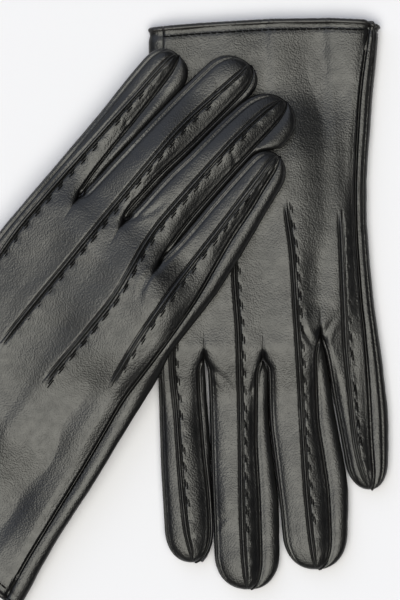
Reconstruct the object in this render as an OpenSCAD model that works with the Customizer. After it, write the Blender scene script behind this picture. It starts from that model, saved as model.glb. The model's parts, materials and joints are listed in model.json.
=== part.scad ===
// A pair of lined leather dress gloves lying on a table.
// The left glove lies flat, fingers toward -Y.  The right glove lies across it,
// fingers toward +X +Y, and drapes from the table up onto the left glove.
// Each glove has its own plan: u runs across the hand (index side negative, little
// finger side positive) and v runs from the cuff edge toward the fingertips.

/* [Size] */
// Flat width of a glove across the palm
hand_width = 101; // [94:1:108]
// Length from the cuff edge to the tip of the middle finger
glove_length = 248; // [232:1:262]
// Thickness of an empty glove lying flat
flat_height = 10; // [9.6:0.2:12]

/* [Leather and lining] */
// Thickness of the leather
leather_t = 1.0; // [0.8:0.1:1.1]
// Thickness of the knitted hand lining
lining_t = 0.9; // [0.7:0.1:1]
// Thickness of the lining in the fingers, where it bunches up
finger_lining_t = 2.0; // [1.6:0.1:2.2]
// Depth of the bound rim at the cuff
rim_depth = 1.8; // [1.4:0.1:2.4]

/* [Thumb] */
// Length of the folded thumb from its root to its tip
thumb_length = 66; // [58:1:68]
// Flat width of the thumb
thumb_width = 26; // [22:1:27]

/* [Stitching] */
// Length of one stitch of the raised point lines
stitch_length = 4.3; // [3:0.1:5]
// Spacing of the stitches of the point lines
stitch_pitch = 8; // [6:0.5:10]
// Spacing of the machine stitches around the cuff
cuff_pitch = 2.8; // [2.4:0.1:4]

/* [Hidden] */

LEFT = 0;
RIGHT = 1;
THUMB = 4;
nominal_width = 101;
nominal_length = 248;
across = hand_width / nominal_width;
along = glove_length / nominal_length;
half_h = flat_height / 2;
edge_h = 0.48 * half_h;      // height of a seam edge above the middle plane
fit = 0.15;                  // clearance between neighbouring pieces of one glove
slit = 0.25;                 // half the gap between two fingers
crease_gap = 0.3;            // half the gap at a finger's bending crease
layer_gap = 1.4;             // clearance between the gloves
strip_fit = 0.4;             // clearance of a side strip from the edges sewn to it
seam_power = 4;              // how late the back rolls down to a seam edge
wrap_power = 12;             // the same for the palm, where it wraps around a side
bag_share = 0.93;            // share of the leather's inner width that a lining takes
tip_cap = 13;                // length of a rounded fingertip
thread_rise = 0.6;           // height of a stitch above the crown it lies on
sole_d = 5;                  // flat layer taken by the folded thumb
thumb_half = 2.3;
thumb_leather_t = 0.8;
thumb_turn = -28;            // direction of the folded thumb from the hand's axis
thumb_root = [-26, 70];
thumb_rise = [28, 60, 139, 166]; // where the palm rises over the thumb and comes down again
thumb_side = [14, 46];       // where it comes down toward the little finger
left_at = [66.23, 127.75];
left_edge = left_at[0] - 51 * across;                  // index side of the left glove
drape_x = [left_edge - 79.23, left_edge + 9.77];       // the right glove rises between these
right_at = [-90.47, -86.65];
right_turn = -40.5;

// Side edges of the four finger lanes, as points [v, u] from the cuff to the tip.
// Neighbouring lanes share an edge up to the fork between their fingers.
LANES = [
  [
    [[[0, -51], [75, -49.5], [145, -47.6], [194, -45.8], [222, -43], [236, -42]],
     [[0, -25.6], [75, -25.5], [145.4, -26.8], [194, -23.3], [222, -21.4], [236, -21.2]]],
    [[[0, -25.6], [75, -25.5], [145.4, -26.8], [194, -23.3], [222, -21.4], [248, -20]],
     [[0, -0.3], [75, -1.5], [145.9, -0.9], [180, 3.9], [213, 6.9], [248, 6.5]]],
    [[[0, -0.3], [75, -1.5], [145.9, -0.9], [180, 3.9], [213, 6.9], [240, 9]],
     [[0, 25], [75, 22.5], [134.9, 24.4], [160, 29.5], [187, 34.6], [215, 36.3], [240, 34]]],
    [[[0, 25], [75, 22.5], [134.9, 24.4], [160, 29.5], [187, 34.6], [204, 37]],
     [[0, 50.4], [45, 46.8], [75, 44.9], [118, 47.6], [152, 52.4], [178, 54.6], [204, 53.5]]]
  ],
  [
    [[[0, -38], [33, -40.5], [65, -44.5], [97, -48.5], [127, -50.5], [222, -50.9], [232, -49]],
     [[0, -12.5], [75, -22], [154.6, -34], [186, -32.5], [222, -30], [232, -29.8]]],
    [[[0, -12.5], [75, -22], [154.6, -34], [186, -32.5], [222, -30], [248, -26]],
     [[0, 13], [75, 4], [159.9, -11.6], [198, -6.4], [242, -3.6], [248, -3.6]]],
    [[[0, 13], [75, 4], [159.9, -11.6], [198, -6.4], [242, -3.6], [248, -3.6]],
     [[0, 38.5], [75, 27], [154.2, 12.3], [190, 16.8], [226, 20], [245, 18]]],
    [[[0, 38.5], [75, 27], [154.2, 12.3], [190, 16.8], [226, 20.4]],
     [[0, 64], [33, 57.2], [65, 52.8], [97, 47.5], [116, 44.6], [157, 40.3], [175, 38.2],
      [190, 34.6], [217, 29], [226, 27]]]
  ]
];
THUMB_LANE = [[[0, -13], [30, -13], [68, -11]], [[0, 13], [30, 13], [68, 11]]];
TIPS = [
  [[-32.5, 235.8], [-7.5, 247.7], [22.5, 239], [45.3, 203.7]],
  [[-41, 230.4], [-14.7, 247.5], [8.5, 245], [22, 225.3]]
];
FORKS = [[145, 145.4, 145.9, 134.9, 134], [154, 154.6, 159.9, 154.2, 154]];
CREASES = [
  [[187.5, 186.6], [189, 188.4], [187, 185.5], [165.5, 162.5]],
  [[195, 195], [199.5, 196.7], [199, 197.6], [187, 184.5]]
];
// First and last stitch of each point line on the back of the hand, as lane stations
POINT_STARTS = [[0.5, 0.5, 0.55, 0.62], [0.7, 0.45, 0.55, 0.67]];
POINT_X = [[0, -0.05, -0.1, -0.3], [-0.05, 0, 0.05, 0]];

COLUMNS = [-1, -0.92, -0.65, 0, 0.65, 0.92, 1];
HAND_ROWS = [0, 0.12, 0.25, 0.36, 0.47, 0.58, 0.7, 0.82, 0.92, 1, 1.12, 1.5, 1.99];
FINGER_ROWS = [2, 2.35, 2.7, 3, 3.3, 3.55, 3.75, 3.9, 4];
FORK_ROWS = [1.97, 1.55, 1.15];
FOURCHETTE_ROWS = [2, 2.5, 3, 3.3, 3.6];

// ---- small helpers ----

function smooth(x) = let (t = min(1, max(0, x))) t * t * (3 - 2 * t);
function mix(a, b, t) = a + (b - a) * t;
function step_between(x, a, b) = smooth((x - a) / (b - a));

// ---- plan of one glove ----

// Sideways place of a lane edge at distance v from the cuff, in real millimetres
function edge_u(side, lane, right, v) =
  lane == THUMB ? lookup(v, THUMB_LANE[right]) * thumb_width / 26
                : lookup(v / along, LANES[side][lane][right]) * across;

function tip(side, lane) =
  lane == THUMB ? [0, thumb_length]
                : [TIPS[side][lane][0] * across, TIPS[side][lane][1] * along];

function fork_v(side, lane, x) =
  lane == THUMB ? 0 : along * mix(FORKS[side][lane], FORKS[side][lane + 1], (x + 1) / 2);

function crease_v(side, lane, x) =
  lane == THUMB ? 0 : along * mix(CREASES[side][lane][0], CREASES[side][lane][1], (x + 1) / 2);

// Distance from the cuff.  Stations run 0 to 1 on the hand, 1 to 2 from the fork to
// the finger's crease, 2 to 3 along the finger and 3 to 4 around its tip.
function station_v(side, lane, s, x, inset) =
  s <= 1 ? mix(0, fork_v(side, lane, x), s) :
  s <= 2 ? mix(fork_v(side, lane, x), crease_v(side, lane, x), s - 1) :
  let (
    from = crease_v(side, lane, x) + (lane == THUMB ? 0 : crease_gap),
    cap = min(tip_cap, (tip(side, lane)[1] - from) / 2),
    to = tip(side, lane)[1] - inset
  )
  s <= 3 ? mix(from, to - cap, s - 2) : to - cap + cap * sin(90 * (s - 3));

function cap_scale(s) = s <= 3 ? 1 : max(0.0001, cos(90 * (s - 3)));

// How far a lane edge is a finger's own side: 0 inside the hand, 1 at a fork and beyond
function side_drop(lane, right, s) = is_outer(lane, right) ? 1 : step_between(s, 0.8, 1);

function is_outer(lane, right) =
  lane == THUMB || (lane == 0 && right == 0) || (lane == 3 && right == 1);

// ---- heights ----

// Rise of the palm over the folded thumb
function thumb_lift(u, v) =
  sole_d * step_between(v, thumb_rise[0], thumb_rise[1])
         * (1 - step_between(v, thumb_rise[2], thumb_rise[3]))
         * (1 - step_between(u, thumb_side[0], thumb_side[1]));

// Rise of the right glove onto the left one at a place on the table
function drape(side, xy) =
  side == LEFT ? 0 :
  step_between(xy[0], drape_x[0], drape_x[1])
    * (flat_height + layer_gap + thumb_lift(xy[0] - left_at[0], left_at[1] - xy[1]));

function on_table(side, uv) =
  side == LEFT ? [left_at[0] + uv[0], left_at[1] - uv[1]]
    : [right_at[0] + cos(right_turn) * uv[0] - sin(right_turn) * uv[1],
       right_at[1] + sin(right_turn) * uv[0] + cos(right_turn) * uv[1]];

function thumb_uv(ab) =
  [thumb_root[0] + cos(thumb_turn) * ab[0] - sin(thumb_turn) * ab[1],
   thumb_root[1] + sin(thumb_turn) * ab[0] + cos(thumb_turn) * ab[1]];

function placed(side, lane, uv, z) =
  let (
    flat = lane == THUMB ? thumb_uv(uv) : uv,
    xy = on_table(side, flat),
    middle = lane == THUMB ? thumb_half : half_h + thumb_lift(flat[0], flat[1])
  )
  [xy[0], xy[1], middle + (lane == THUMB ? 0 : drape(side, xy)) + z];

// ---- one point of a glove's skin ----

// x is the place across the lane from -1 to 1, inset the depth under the outer face,
// and face is 1 for the back and -1 for the palm.
function skin(side, lane, s, x, inset, face) =
  let (
    right = x > 0 ? 1 : 0,
    drop = side_drop(lane, right, s),
    v = station_v(side, lane, s, x, inset),
    gap = is_outer(lane, right) || s <= 1 ? 0 : slit,
    u_left = edge_u(side, lane, 0, v),
    u_right = edge_u(side, lane, 1, v),
    centre = mix((u_left + u_right) / 2, tip(side, lane)[0], s <= 3 ? 0 : smooth(s - 3)),
    half = (u_right - u_left) / 2,
    trim = (s <= 1 && !is_outer(lane, right) ? 0 : inset) + gap,
    scale = cap_scale(s),
    u = centre + x * (scale * (half - trim) + (1 - scale) * (0.9 - 0.3 * inset)),
    full = lane == THUMB ? thumb_half : half_h,
    seam = (lane == THUMB ? 0.35 * thumb_half : edge_h) * scale + 0.1 * (1 - scale),
    crown = (full - inset) * pow(scale, 0.6) + (1.1 - 0.4 * inset) * (1 - pow(scale, 0.6)),
    inner_edge = s <= 1 && !is_outer(lane, right) ? seam - inset : seam,
    edge = face > 0 ? inner_edge
         : (is_outer(lane, right) ? seam - fit : -inner_edge),
    roundness = face < 0 && is_outer(lane, right) ? wrap_power : seam_power,
    z = mix(face * crown, edge, drop * pow(abs(x), roundness))
  )
  placed(side, lane, [u, v], z);

// ---- closed shells built from an outer and an inner grid ----

// Faces of a grid of rows x columns, outer points first, then inner points
function quad(a, b, c, d) = [[a, b, c], [a, c, d]];

function shell_faces(rows, cols) =
  let (inner = rows * cols)
  [
    for (r = [0:rows - 2], c = [0:cols - 2])
      let (a = r * cols + c)
      each concat(quad(a, a + 1, a + cols + 1, a + cols),
                  quad(inner + a, inner + a + cols, inner + a + cols + 1, inner + a + 1)),
    for (r = [0:rows - 2])
      let (a = r * cols, b = r * cols + cols - 1)
      each concat(quad(a, a + cols, inner + a + cols, inner + a),
                  quad(b + cols, b, inner + b, inner + b + cols)),
    for (c = [0:cols - 2])
      let (a = c, b = (rows - 1) * cols + c)
      each concat(quad(a + 1, a, inner + a, inner + a + 1),
                  quad(b, b + 1, inner + b + 1, inner + b))
  ];

function turned(faces, flip) = flip ? [for (f = faces) [f[2], f[1], f[0]]] : faces;

module shell(outer, inner, flip) {
  rows = len(outer);
  cols = len(outer[0]);
  polyhedron([for (r = outer) each r, for (r = inner) each r],
             turned(shell_faces(rows, cols), flip), convexity = 6);
}

// Half of a finger or thumb: face 1 is its back, -1 its palm side
module finger_half(side, lane, face, thickness) {
  shell([for (s = FINGER_ROWS) [for (x = COLUMNS) skin(side, lane, s, x, 0, face)]],
        [for (s = FINGER_ROWS) [for (x = COLUMNS) skin(side, lane, s, x, thickness, face)]],
        (side == LEFT) != (face > 0));
}

// ---- panels of the hand, with a slit at each fork ----

module hand_panel(side, face, rows, cols, inset, thickness) {
  nr = len(rows);
  nc = len(cols);
  split = search(1, rows)[0];
  per_lane = nr * nc;
  all = 4 * per_lane;
  function id(lane, r, c) =
    c == nc - 1 && lane < 3 && r <= split ? (lane + 1) * per_lane + r * nc
                                          : lane * per_lane + r * nc + c;
  points = [
    for (depth = [inset, inset + thickness], lane = [0:3], s = rows, x = cols)
      skin(side, lane, s, x, depth, face)
  ];
  faces = [
    for (lane = [0:3], r = [0:nr - 2], c = [0:nc - 2])
      let (a = id(lane, r, c), b = id(lane, r, c + 1),
           d = id(lane, r + 1, c), e = id(lane, r + 1, c + 1))
      each concat(quad(a, b, e, d), quad(all + a, all + d, all + e, all + b)),
    for (lane = [0:3], r = [0:nr - 2])
      let (a = id(lane, r, 0), d = id(lane, r + 1, 0))
      if (lane == 0 || r >= split) each quad(a, d, all + d, all + a),
    for (lane = [0:3], r = [0:nr - 2])
      let (a = id(lane, r, nc - 1), d = id(lane, r + 1, nc - 1))
      if (lane == 3 || r >= split) each quad(d, a, all + a, all + d),
    for (lane = [0:3], c = [0:nc - 2])
      let (a = id(lane, 0, c), b = id(lane, 0, c + 1),
           d = id(lane, nr - 1, c), e = id(lane, nr - 1, c + 1))
      each concat(quad(b, a, all + a, all + b), quad(d, e, all + e, all + d))
  ];
  polyhedron(points, turned(faces, (side == LEFT) != (face > 0)), convexity = 8);
}

// ---- side strips between the fingers ----

// Column of a strip at one station of a finger's side, from its lower to its upper edge
function strip_column(side, lane, s, right, depth) =
  let (
    x = right == 1 ? 1 : -1,
    low = skin(side, lane, s, x, depth, -1),
    high = skin(side, lane, s, x, depth, 1),
    room = strip_fit / max(0.5, high[2] - low[2]),
    near_fork = s < 1.3 ? leather_t / (high[2] - low[2]) : 0
  )
  [for (t = [room + near_fork, 0.5, 1 - room - near_fork]) mix(low, high, t)];

module finger_strip(side, lane, right) {
  shell([for (s = FOURCHETTE_ROWS) strip_column(side, lane, s, right, 0)],
        [for (s = FOURCHETTE_ROWS) strip_column(side, lane, s, right, leather_t)],
        (side == LEFT) != (right == 0));
}

// The forked strip around the root of the slit between two fingers
module fork_strip(side, lane) {
  function fork_column(depth) =
    let (
      v = fork_v(side, lane, 1) - depth,
      u = edge_u(side, lane, 1, v),
      half = edge_h - leather_t - strip_fit
    )
    [for (z = [-half, 0, half]) placed(side, lane, [u, v], z)];
  function path(depth) = [
    for (s = FORK_ROWS) strip_column(side, lane, s, 1, depth),
    fork_column(depth),
    for (i = [len(FORK_ROWS) - 1:-1:0]) strip_column(side, lane + 1, FORK_ROWS[i], 0, depth)
  ];
  shell(path(0.02), path(leather_t), side == LEFT);
}

// ---- linings of fingers and thumb: closed bags open at the root ----

BAG_STEPS = 10;
BAG_ROWS = [2, 2.5, 3, 3.4, 3.7];

function bag_ring(side, lane, s, inset) =
  let (
    v = station_v(side, lane, s, 0, inset),
    left = edge_u(side, lane, 0, v),
    right = edge_u(side, lane, 1, v),
    centre = mix((left + right) / 2, tip(side, lane)[0], s <= 3 ? 0 : smooth(s - 3)),
    scale = cap_scale(s),
    full = lane == THUMB ? thumb_half : half_h
  )
  [for (i = [0:BAG_STEPS - 1])
    let (a = 360 * (i + 0.5) / BAG_STEPS,
         c = sign(cos(a)) * pow(abs(cos(a)), 0.5),
         z = sign(sin(a)) * pow(abs(sin(a)), 0.7))
    placed(side, lane,
      [centre + c * scale * ((right - left) / 2 - slit - inset) * bag_share,
       station_v(side, lane, s, c, inset)],
      z * (full - inset) * (0.35 + 0.65 * scale) * 0.8)];

module bag(side, lane, inset, thickness) {
  n = BAG_STEPS;
  m = len(BAG_ROWS);
  points = concat([for (s = BAG_ROWS) each bag_ring(side, lane, s, inset)],
                  [for (s = BAG_ROWS) each bag_ring(side, lane, s, inset + thickness)]);
  inner = n * m;
  faces = [
    for (r = [0:m - 2], i = [0:n - 1])
      let (a = r * n + i, b = r * n + (i + 1) % n)
      each concat(quad(a, b, b + n, a + n), quad(inner + b, inner + a, inner + a + n, inner + b + n)),
    for (i = [0:n - 1])
      let (a = i, b = (i + 1) % n)
      each quad(b, a, inner + a, inner + b),
    for (i = [1:n - 2])
      let (a = (m - 1) * n)
      each [[a, a + i, a + i + 1], [inner + a, inner + a + i + 1, inner + a + i]]
  ];
  polyhedron(points, turned(faces, side == RIGHT), convexity = 4);
}

// ---- rim around the cuff ----

function mouth_loop(side, inset, v) =
  let (
    top = [for (lane = [0:3], x = [-1, -0.65, 0, 0.65]) skin(side, lane, 0, x, inset, 1)],
    last_top = [skin(side, 3, 0, 1, inset, 1)],
    low = [for (lane = [3:-1:0], x = [1, 0.65, 0, -0.65]) skin(side, lane, 0, x, inset, -1)],
    last_low = [skin(side, 0, 0, -1, inset, -1)],
    shift = on_table(side, [0, v]) - on_table(side, [0, 0])
  )
  [for (p = concat(top, last_top, low, last_low)) [p[0] + shift[0], p[1] + shift[1], p[2]]];

module cuff_rim(side) {
  depth = leather_t + fit + lining_t;
  loops = [
    mouth_loop(side, 0, -fit), mouth_loop(side, 0, -fit - rim_depth),
    mouth_loop(side, depth, -fit - rim_depth), mouth_loop(side, depth, -fit)
  ];
  n = len(loops[0]);
  faces = [
    for (k = [0:3], i = [0:n - 1])
      let (a = k * n + i, b = k * n + (i + 1) % n, c = ((k + 1) % 4) * n + (i + 1) % n,
           d = ((k + 1) % 4) * n + i)
      each quad(a, b, c, d)
  ];
  polyhedron([for (l = loops) each l], turned(faces, side == RIGHT), convexity = 6);
}

// ---- stitches on the back of the hand ----

// Index of the interval of a rising list that holds a value
function interval(list, value) =
  max([0, for (i = [0:len(list) - 2]) if (list[i] <= value) i]);

// A place on the flat facets of a back panel, where the stitches lie
function on_panel(side, lane, s, x) =
  let (
    r = interval(HAND_ROWS, s),
    c = interval(COLUMNS, x),
    row_share = (s - HAND_ROWS[r]) / (HAND_ROWS[r + 1] - HAND_ROWS[r]),
    column_share = (x - COLUMNS[c]) / (COLUMNS[c + 1] - COLUMNS[c]),
    rows = [for (i = [r, r + 1])
      mix(skin(side, lane, HAND_ROWS[i], COLUMNS[c], 0, 1),
          skin(side, lane, HAND_ROWS[i], COLUMNS[c + 1], 0, 1), column_share)]
  )
  mix(rows[0], rows[1], row_share);

module stitch(side, lane, s, x, size, along_cuff) {
  p = on_panel(side, lane, s, x);
  q = on_panel(side, lane, s + 0.02, x);
  d = q - p;
  heading = atan2(d[1], d[0]) + (along_cuff ? 90 : 0);
  pitch = along_cuff ? 0 : atan2(d[2], norm([d[0], d[1]]));
  translate(p + [0, 0, thread_rise + size[2] / 2]) rotate([0, -pitch, heading]) cube(size, center = true);
}

module point_row(side, lane) {
  thread_size = [stitch_length, 1.2, 0.4];
  first = POINT_STARTS[side][lane];
  fork = fork_v(side, lane, 0);
  crease = crease_v(side, lane, 0);
  hand_count = floor((1 - first) * fork / stitch_pitch);
  finger_count = floor((crease - fork) / stitch_pitch) - 1;
  x = POINT_X[side][lane];
  for (i = [0:hand_count - 1])
    stitch(side, lane, first + i * stitch_pitch / fork, x, thread_size, false);
  for (i = [0:finger_count - 1])
    stitch(side, lane, 1.02 + i * stitch_pitch / (crease - fork), x, thread_size, false);
}

module cuff_row(side) {
  lane_width = hand_width / 4;
  for (lane = [0:3], i = [0:floor(lane_width * 0.8 / cuff_pitch)])
    stitch(side, lane, 0.022, -0.8 + i * 2 * cuff_pitch / lane_width, [cuff_pitch - 0.8, 0.6, 0.4],
           true);
}

// ---- sub-parts ----

module back_panel(side) color("#1c1c1a") hand_panel(side, 1, HAND_ROWS, COLUMNS, 0, leather_t);
module palm_panel(side) color("#1c1c1a") hand_panel(side, -1, HAND_ROWS, COLUMNS, 0, leather_t);
module fourchette(side, lane) color("#252523") fork_strip(side, lane);
module cuff_binding(side) color("#161615") cuff_rim(side);
module back_lining(side) color("#2b2b2e")
  hand_panel(side, 1, HAND_ROWS, COLUMNS, leather_t + fit, lining_t);
module palm_lining(side) color("#2b2b2e")
  hand_panel(side, -1, HAND_ROWS, COLUMNS, leather_t + fit, lining_t);
module stitching(side) color("#0b0b0b") {
  for (lane = [0:3]) point_row(side, lane);
  cuff_row(side);
}
module finger_back(side, lane) color("#1c1c1a") finger_half(side, lane, 1, leather_t);
module finger_palm(side, lane) color("#1c1c1a") finger_half(side, lane, -1, leather_t);
module finger_sides(side, lane) color("#252523") {
  if (lane > 0) finger_strip(side, lane, 0);
  if (lane < 3) finger_strip(side, lane, 1);
}
module finger_lining(side, lane) color("#2b2b2e")
  bag(side, lane, leather_t + 2 * fit, finger_lining_t);
module thumb_outer(side) color("#1c1c1a") finger_half(side, THUMB, -1, thumb_leather_t);
module thumb_inner(side) color("#1c1c1a") finger_half(side, THUMB, 1, thumb_leather_t);
module thumb_lining(side) color("#2b2b2e") bag(side, THUMB, thumb_leather_t + 2 * fit, 0.5);

back_panel(LEFT);  // left_back_panel
palm_panel(LEFT);  // left_palm_panel
fourchette(LEFT, 0);  // left_index_middle_fourchette
fourchette(LEFT, 1);  // left_middle_ring_fourchette
fourchette(LEFT, 2);  // left_ring_little_fourchette
cuff_binding(LEFT);  // left_cuff_binding
stitching(LEFT);  // left_stitching
back_lining(LEFT);  // left_back_lining
palm_lining(LEFT);  // left_palm_lining
finger_back(LEFT, 0);  // left_index_back
finger_palm(LEFT, 0);  // left_index_palm
finger_sides(LEFT, 0);  // left_index_fourchette
finger_lining(LEFT, 0);  // left_index_lining
finger_back(LEFT, 1);  // left_middle_back
finger_palm(LEFT, 1);  // left_middle_palm
finger_sides(LEFT, 1);  // left_middle_fourchettes
finger_lining(LEFT, 1);  // left_middle_lining
finger_back(LEFT, 2);  // left_ring_back
finger_palm(LEFT, 2);  // left_ring_palm
finger_sides(LEFT, 2);  // left_ring_fourchettes
finger_lining(LEFT, 2);  // left_ring_lining
finger_back(LEFT, 3);  // left_little_back
finger_palm(LEFT, 3);  // left_little_palm
finger_sides(LEFT, 3);  // left_little_fourchette
finger_lining(LEFT, 3);  // left_little_lining
thumb_outer(LEFT);  // left_thumb_outer
thumb_inner(LEFT);  // left_thumb_inner
thumb_lining(LEFT);  // left_thumb_lining
back_panel(RIGHT);  // right_back_panel
palm_panel(RIGHT);  // right_palm_panel
fourchette(RIGHT, 0);  // right_index_middle_fourchette
fourchette(RIGHT, 1);  // right_middle_ring_fourchette
fourchette(RIGHT, 2);  // right_ring_little_fourchette
cuff_binding(RIGHT);  // right_cuff_binding
stitching(RIGHT);  // right_stitching
back_lining(RIGHT);  // right_back_lining
palm_lining(RIGHT);  // right_palm_lining
finger_back(RIGHT, 0);  // right_index_back
finger_palm(RIGHT, 0);  // right_index_palm
finger_sides(RIGHT, 0);  // right_index_fourchette
finger_lining(RIGHT, 0);  // right_index_lining
finger_back(RIGHT, 1);  // right_middle_back
finger_palm(RIGHT, 1);  // right_middle_palm
finger_sides(RIGHT, 1);  // right_middle_fourchettes
finger_lining(RIGHT, 1);  // right_middle_lining
finger_back(RIGHT, 2);  // right_ring_back
finger_palm(RIGHT, 2);  // right_ring_palm
finger_sides(RIGHT, 2);  // right_ring_fourchettes
finger_lining(RIGHT, 2);  // right_ring_lining
finger_back(RIGHT, 3);  // right_little_back
finger_palm(RIGHT, 3);  // right_little_palm
finger_sides(RIGHT, 3);  // right_little_fourchette
finger_lining(RIGHT, 3);  // right_little_lining
thumb_outer(RIGHT);  // right_thumb_outer
thumb_inner(RIGHT);  // right_thumb_inner
thumb_lining(RIGHT);  // right_thumb_lining
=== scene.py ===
# %% [markdown]
# A pair of gentleman's dress gloves in black grain leather, one lying across the other.
# The leather is thin and supple, so every panel is a curved sheet about a millimetre thick.
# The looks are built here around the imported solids, which give the places and the joints.

# %% Load the frame and keep its box
import json
import math

import bpy
import numpy as np
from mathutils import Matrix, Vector

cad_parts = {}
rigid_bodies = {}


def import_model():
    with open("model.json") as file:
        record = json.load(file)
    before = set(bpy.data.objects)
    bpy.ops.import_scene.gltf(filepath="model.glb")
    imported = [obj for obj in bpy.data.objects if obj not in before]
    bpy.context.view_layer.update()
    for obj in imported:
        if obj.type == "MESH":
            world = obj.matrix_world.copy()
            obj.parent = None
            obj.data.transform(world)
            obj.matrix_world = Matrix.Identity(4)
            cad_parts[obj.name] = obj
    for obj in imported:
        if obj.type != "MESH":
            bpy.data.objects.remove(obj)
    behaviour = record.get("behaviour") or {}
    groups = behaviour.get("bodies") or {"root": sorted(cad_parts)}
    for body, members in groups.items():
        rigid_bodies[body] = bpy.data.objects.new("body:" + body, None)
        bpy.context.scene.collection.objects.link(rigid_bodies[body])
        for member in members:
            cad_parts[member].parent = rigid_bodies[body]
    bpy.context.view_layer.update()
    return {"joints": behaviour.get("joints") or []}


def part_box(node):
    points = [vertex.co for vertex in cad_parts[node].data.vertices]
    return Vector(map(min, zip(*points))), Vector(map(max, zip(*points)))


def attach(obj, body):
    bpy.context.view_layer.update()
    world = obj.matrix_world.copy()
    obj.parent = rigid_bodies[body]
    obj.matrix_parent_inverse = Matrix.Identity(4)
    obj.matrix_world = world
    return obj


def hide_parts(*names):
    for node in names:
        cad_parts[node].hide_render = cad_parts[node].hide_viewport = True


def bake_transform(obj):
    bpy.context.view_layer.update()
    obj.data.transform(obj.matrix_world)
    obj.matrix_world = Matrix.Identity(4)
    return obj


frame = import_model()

MM = 0.001
FINGERS = ("index", "middle", "ring", "little")
SIDES = ("left", "right")

# %% [markdown]
# Each glove is drawn on its own flat plan, as a glove cutter would draw it.  u runs across the
# hand, from the index side to the little finger side, and v runs from the cuff edge to the tips.
# The plan is then laid on the table: the left glove is turned over end to end, and the right
# one is turned by its own angle and slid into place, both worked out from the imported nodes.

# %% Where each plan lies on the table
RIGHT_TURN = math.radians(-40.5)
CUFF_RIM = 1.95  # how far the cuff binding stands beyond the edge of the leather
CUFF_ENDS = {"left": (-51.0, 50.4), "right": (-38.0, 64.0)}   # both sides of each cuff


def node_box(name):
    """Low and high corner of a node, in millimetres."""
    low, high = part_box(name)
    return np.array(low) / MM, np.array(high) / MM


left_low, left_high = node_box("left_cuff_binding")
LEFT_AT = np.array([left_low[0] - CUFF_ENDS["left"][0], left_high[1] - CUFF_RIM])
right_low, _ = node_box("right_cuff_binding")
index_corner, little_corner = (np.array([u, -CUFF_RIM]) for u in CUFF_ENDS["right"])
turn = np.array([[math.cos(RIGHT_TURN), -math.sin(RIGHT_TURN)],
                 [math.sin(RIGHT_TURN), math.cos(RIGHT_TURN)]])
RIGHT_AT = np.array([right_low[0] - (turn @ index_corner)[0],
                     right_low[1] - (turn @ little_corner)[1]])
print("left plan at", LEFT_AT.round(2), "right plan at", RIGHT_AT.round(2))

# %% [markdown]
# Heights come from the way the pair lies.  An empty lined glove is about 10 mm thick.  The palm
# rises a little where the folded thumb lies under it, and the right glove climbs from the table
# onto the left one over a few centimetres, as soft leather does.

# %% Heights of the two gloves
HALF = 5.0          # half the thickness of an empty glove
THUMB_DEPTH = 5.0   # layer taken by the folded thumb
LAYER_GAP = 1.4     # clearance between the two gloves
DRAPE_FROM, DRAPE_TO = -64.0, 25.0   # the right glove climbs between these places on x
ARCH_REACH = 50.0   # the arch of the left cuff fades out over this much of the glove


def smooth(x):
    """An even S-curve from 0 to 1."""
    t = np.clip(x, 0.0, 1.0)
    return t * t * (3 - 2 * t)


def ramp(x, start, end):
    return smooth((x - start) / (end - start))


def mix(a, b, t):
    return a + (b - a) * t


def thumb_lift(u, v):
    """How far the palm rises over the folded thumb."""
    return THUMB_DEPTH * ramp(v, 28, 60) * (1 - ramp(v, 139, 166)) * (1 - ramp(u, 14, 46))


def cuff_arch(u):
    """The left cuff isn't quite straight: how far its edge stands beyond the pattern's."""
    places = [-51, -28.6, 2, 28.6, 44, 50.4]
    reach = [-1.9, 0.0, 1.8, 2.2, 1.6, -0.6]
    return np.interp(u, places, reach)


def on_table(side, u, v):
    """A plan place as x and y on the table, in mm."""
    if side == "left":
        return LEFT_AT[0] + u, LEFT_AT[1] - v
    c, s = math.cos(RIGHT_TURN), math.sin(RIGHT_TURN)
    return RIGHT_AT[0] + c * u - s * v, RIGHT_AT[1] + s * u + c * v


def drape(side, x, y):
    """How far the right glove is lifted where it climbs onto the left one."""
    if side == "left":
        return 0 * x
    under = thumb_lift(x - LEFT_AT[0], LEFT_AT[1] - y)
    return ramp(x, DRAPE_FROM, DRAPE_TO) * (2 * HALF + LAYER_GAP + under)


def place(side, u, v, z):
    """Plan points to row-frame points in metres; z is measured from the glove's middle plane."""
    drawn = v - cuff_arch(u) * (1 - ramp(v, 0, ARCH_REACH)) if side == "left" else v
    x, y = on_table(side, u, drawn)
    height = HALF + thumb_lift(u, v) + drape(side, x, y) + z
    return np.stack([x, y, height], axis=-1) * MM


print("drape rises", round(2 * HALF + LAYER_GAP + THUMB_DEPTH, 1), "mm")

# %% [markdown]
# The pattern lines of each glove: for every finger the left seam, the raised point line on the
# back, the right seam and the right-hand edge, each as a few places (v, u) that a smooth curve
# passes through.  A smooth monotone curve keeps the outline free of ripples.

# %% Smooth curves through chosen places
def curve(points):
    """A smooth curve through (x, y) points that never overshoots them."""
    xs = np.array([p[0] for p in points], float)
    ys = np.array([p[1] for p in points], float)
    steps = np.diff(ys) / np.diff(xs)
    slopes = np.concatenate([[steps[0]], np.zeros(len(xs) - 2), [steps[-1]]])
    for i in range(1, len(xs) - 1):
        if steps[i - 1] * steps[i] > 0:
            slopes[i] = 2 * steps[i - 1] * steps[i] / (steps[i - 1] + steps[i])

    def at(x):
        x = np.clip(x, xs[0], xs[-1])
        i = np.clip(np.searchsorted(xs, x, side="right") - 1, 0, len(xs) - 2)
        width = xs[i + 1] - xs[i]
        t = (x - xs[i]) / width
        a = (1 + 2 * t) * (1 - t) ** 2 * ys[i] + t * (1 - t) ** 2 * width * slopes[i]
        b = t * t * (3 - 2 * t) * ys[i + 1] + t * t * (t - 1) * width * slopes[i + 1]
        return a + b

    return at


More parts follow.
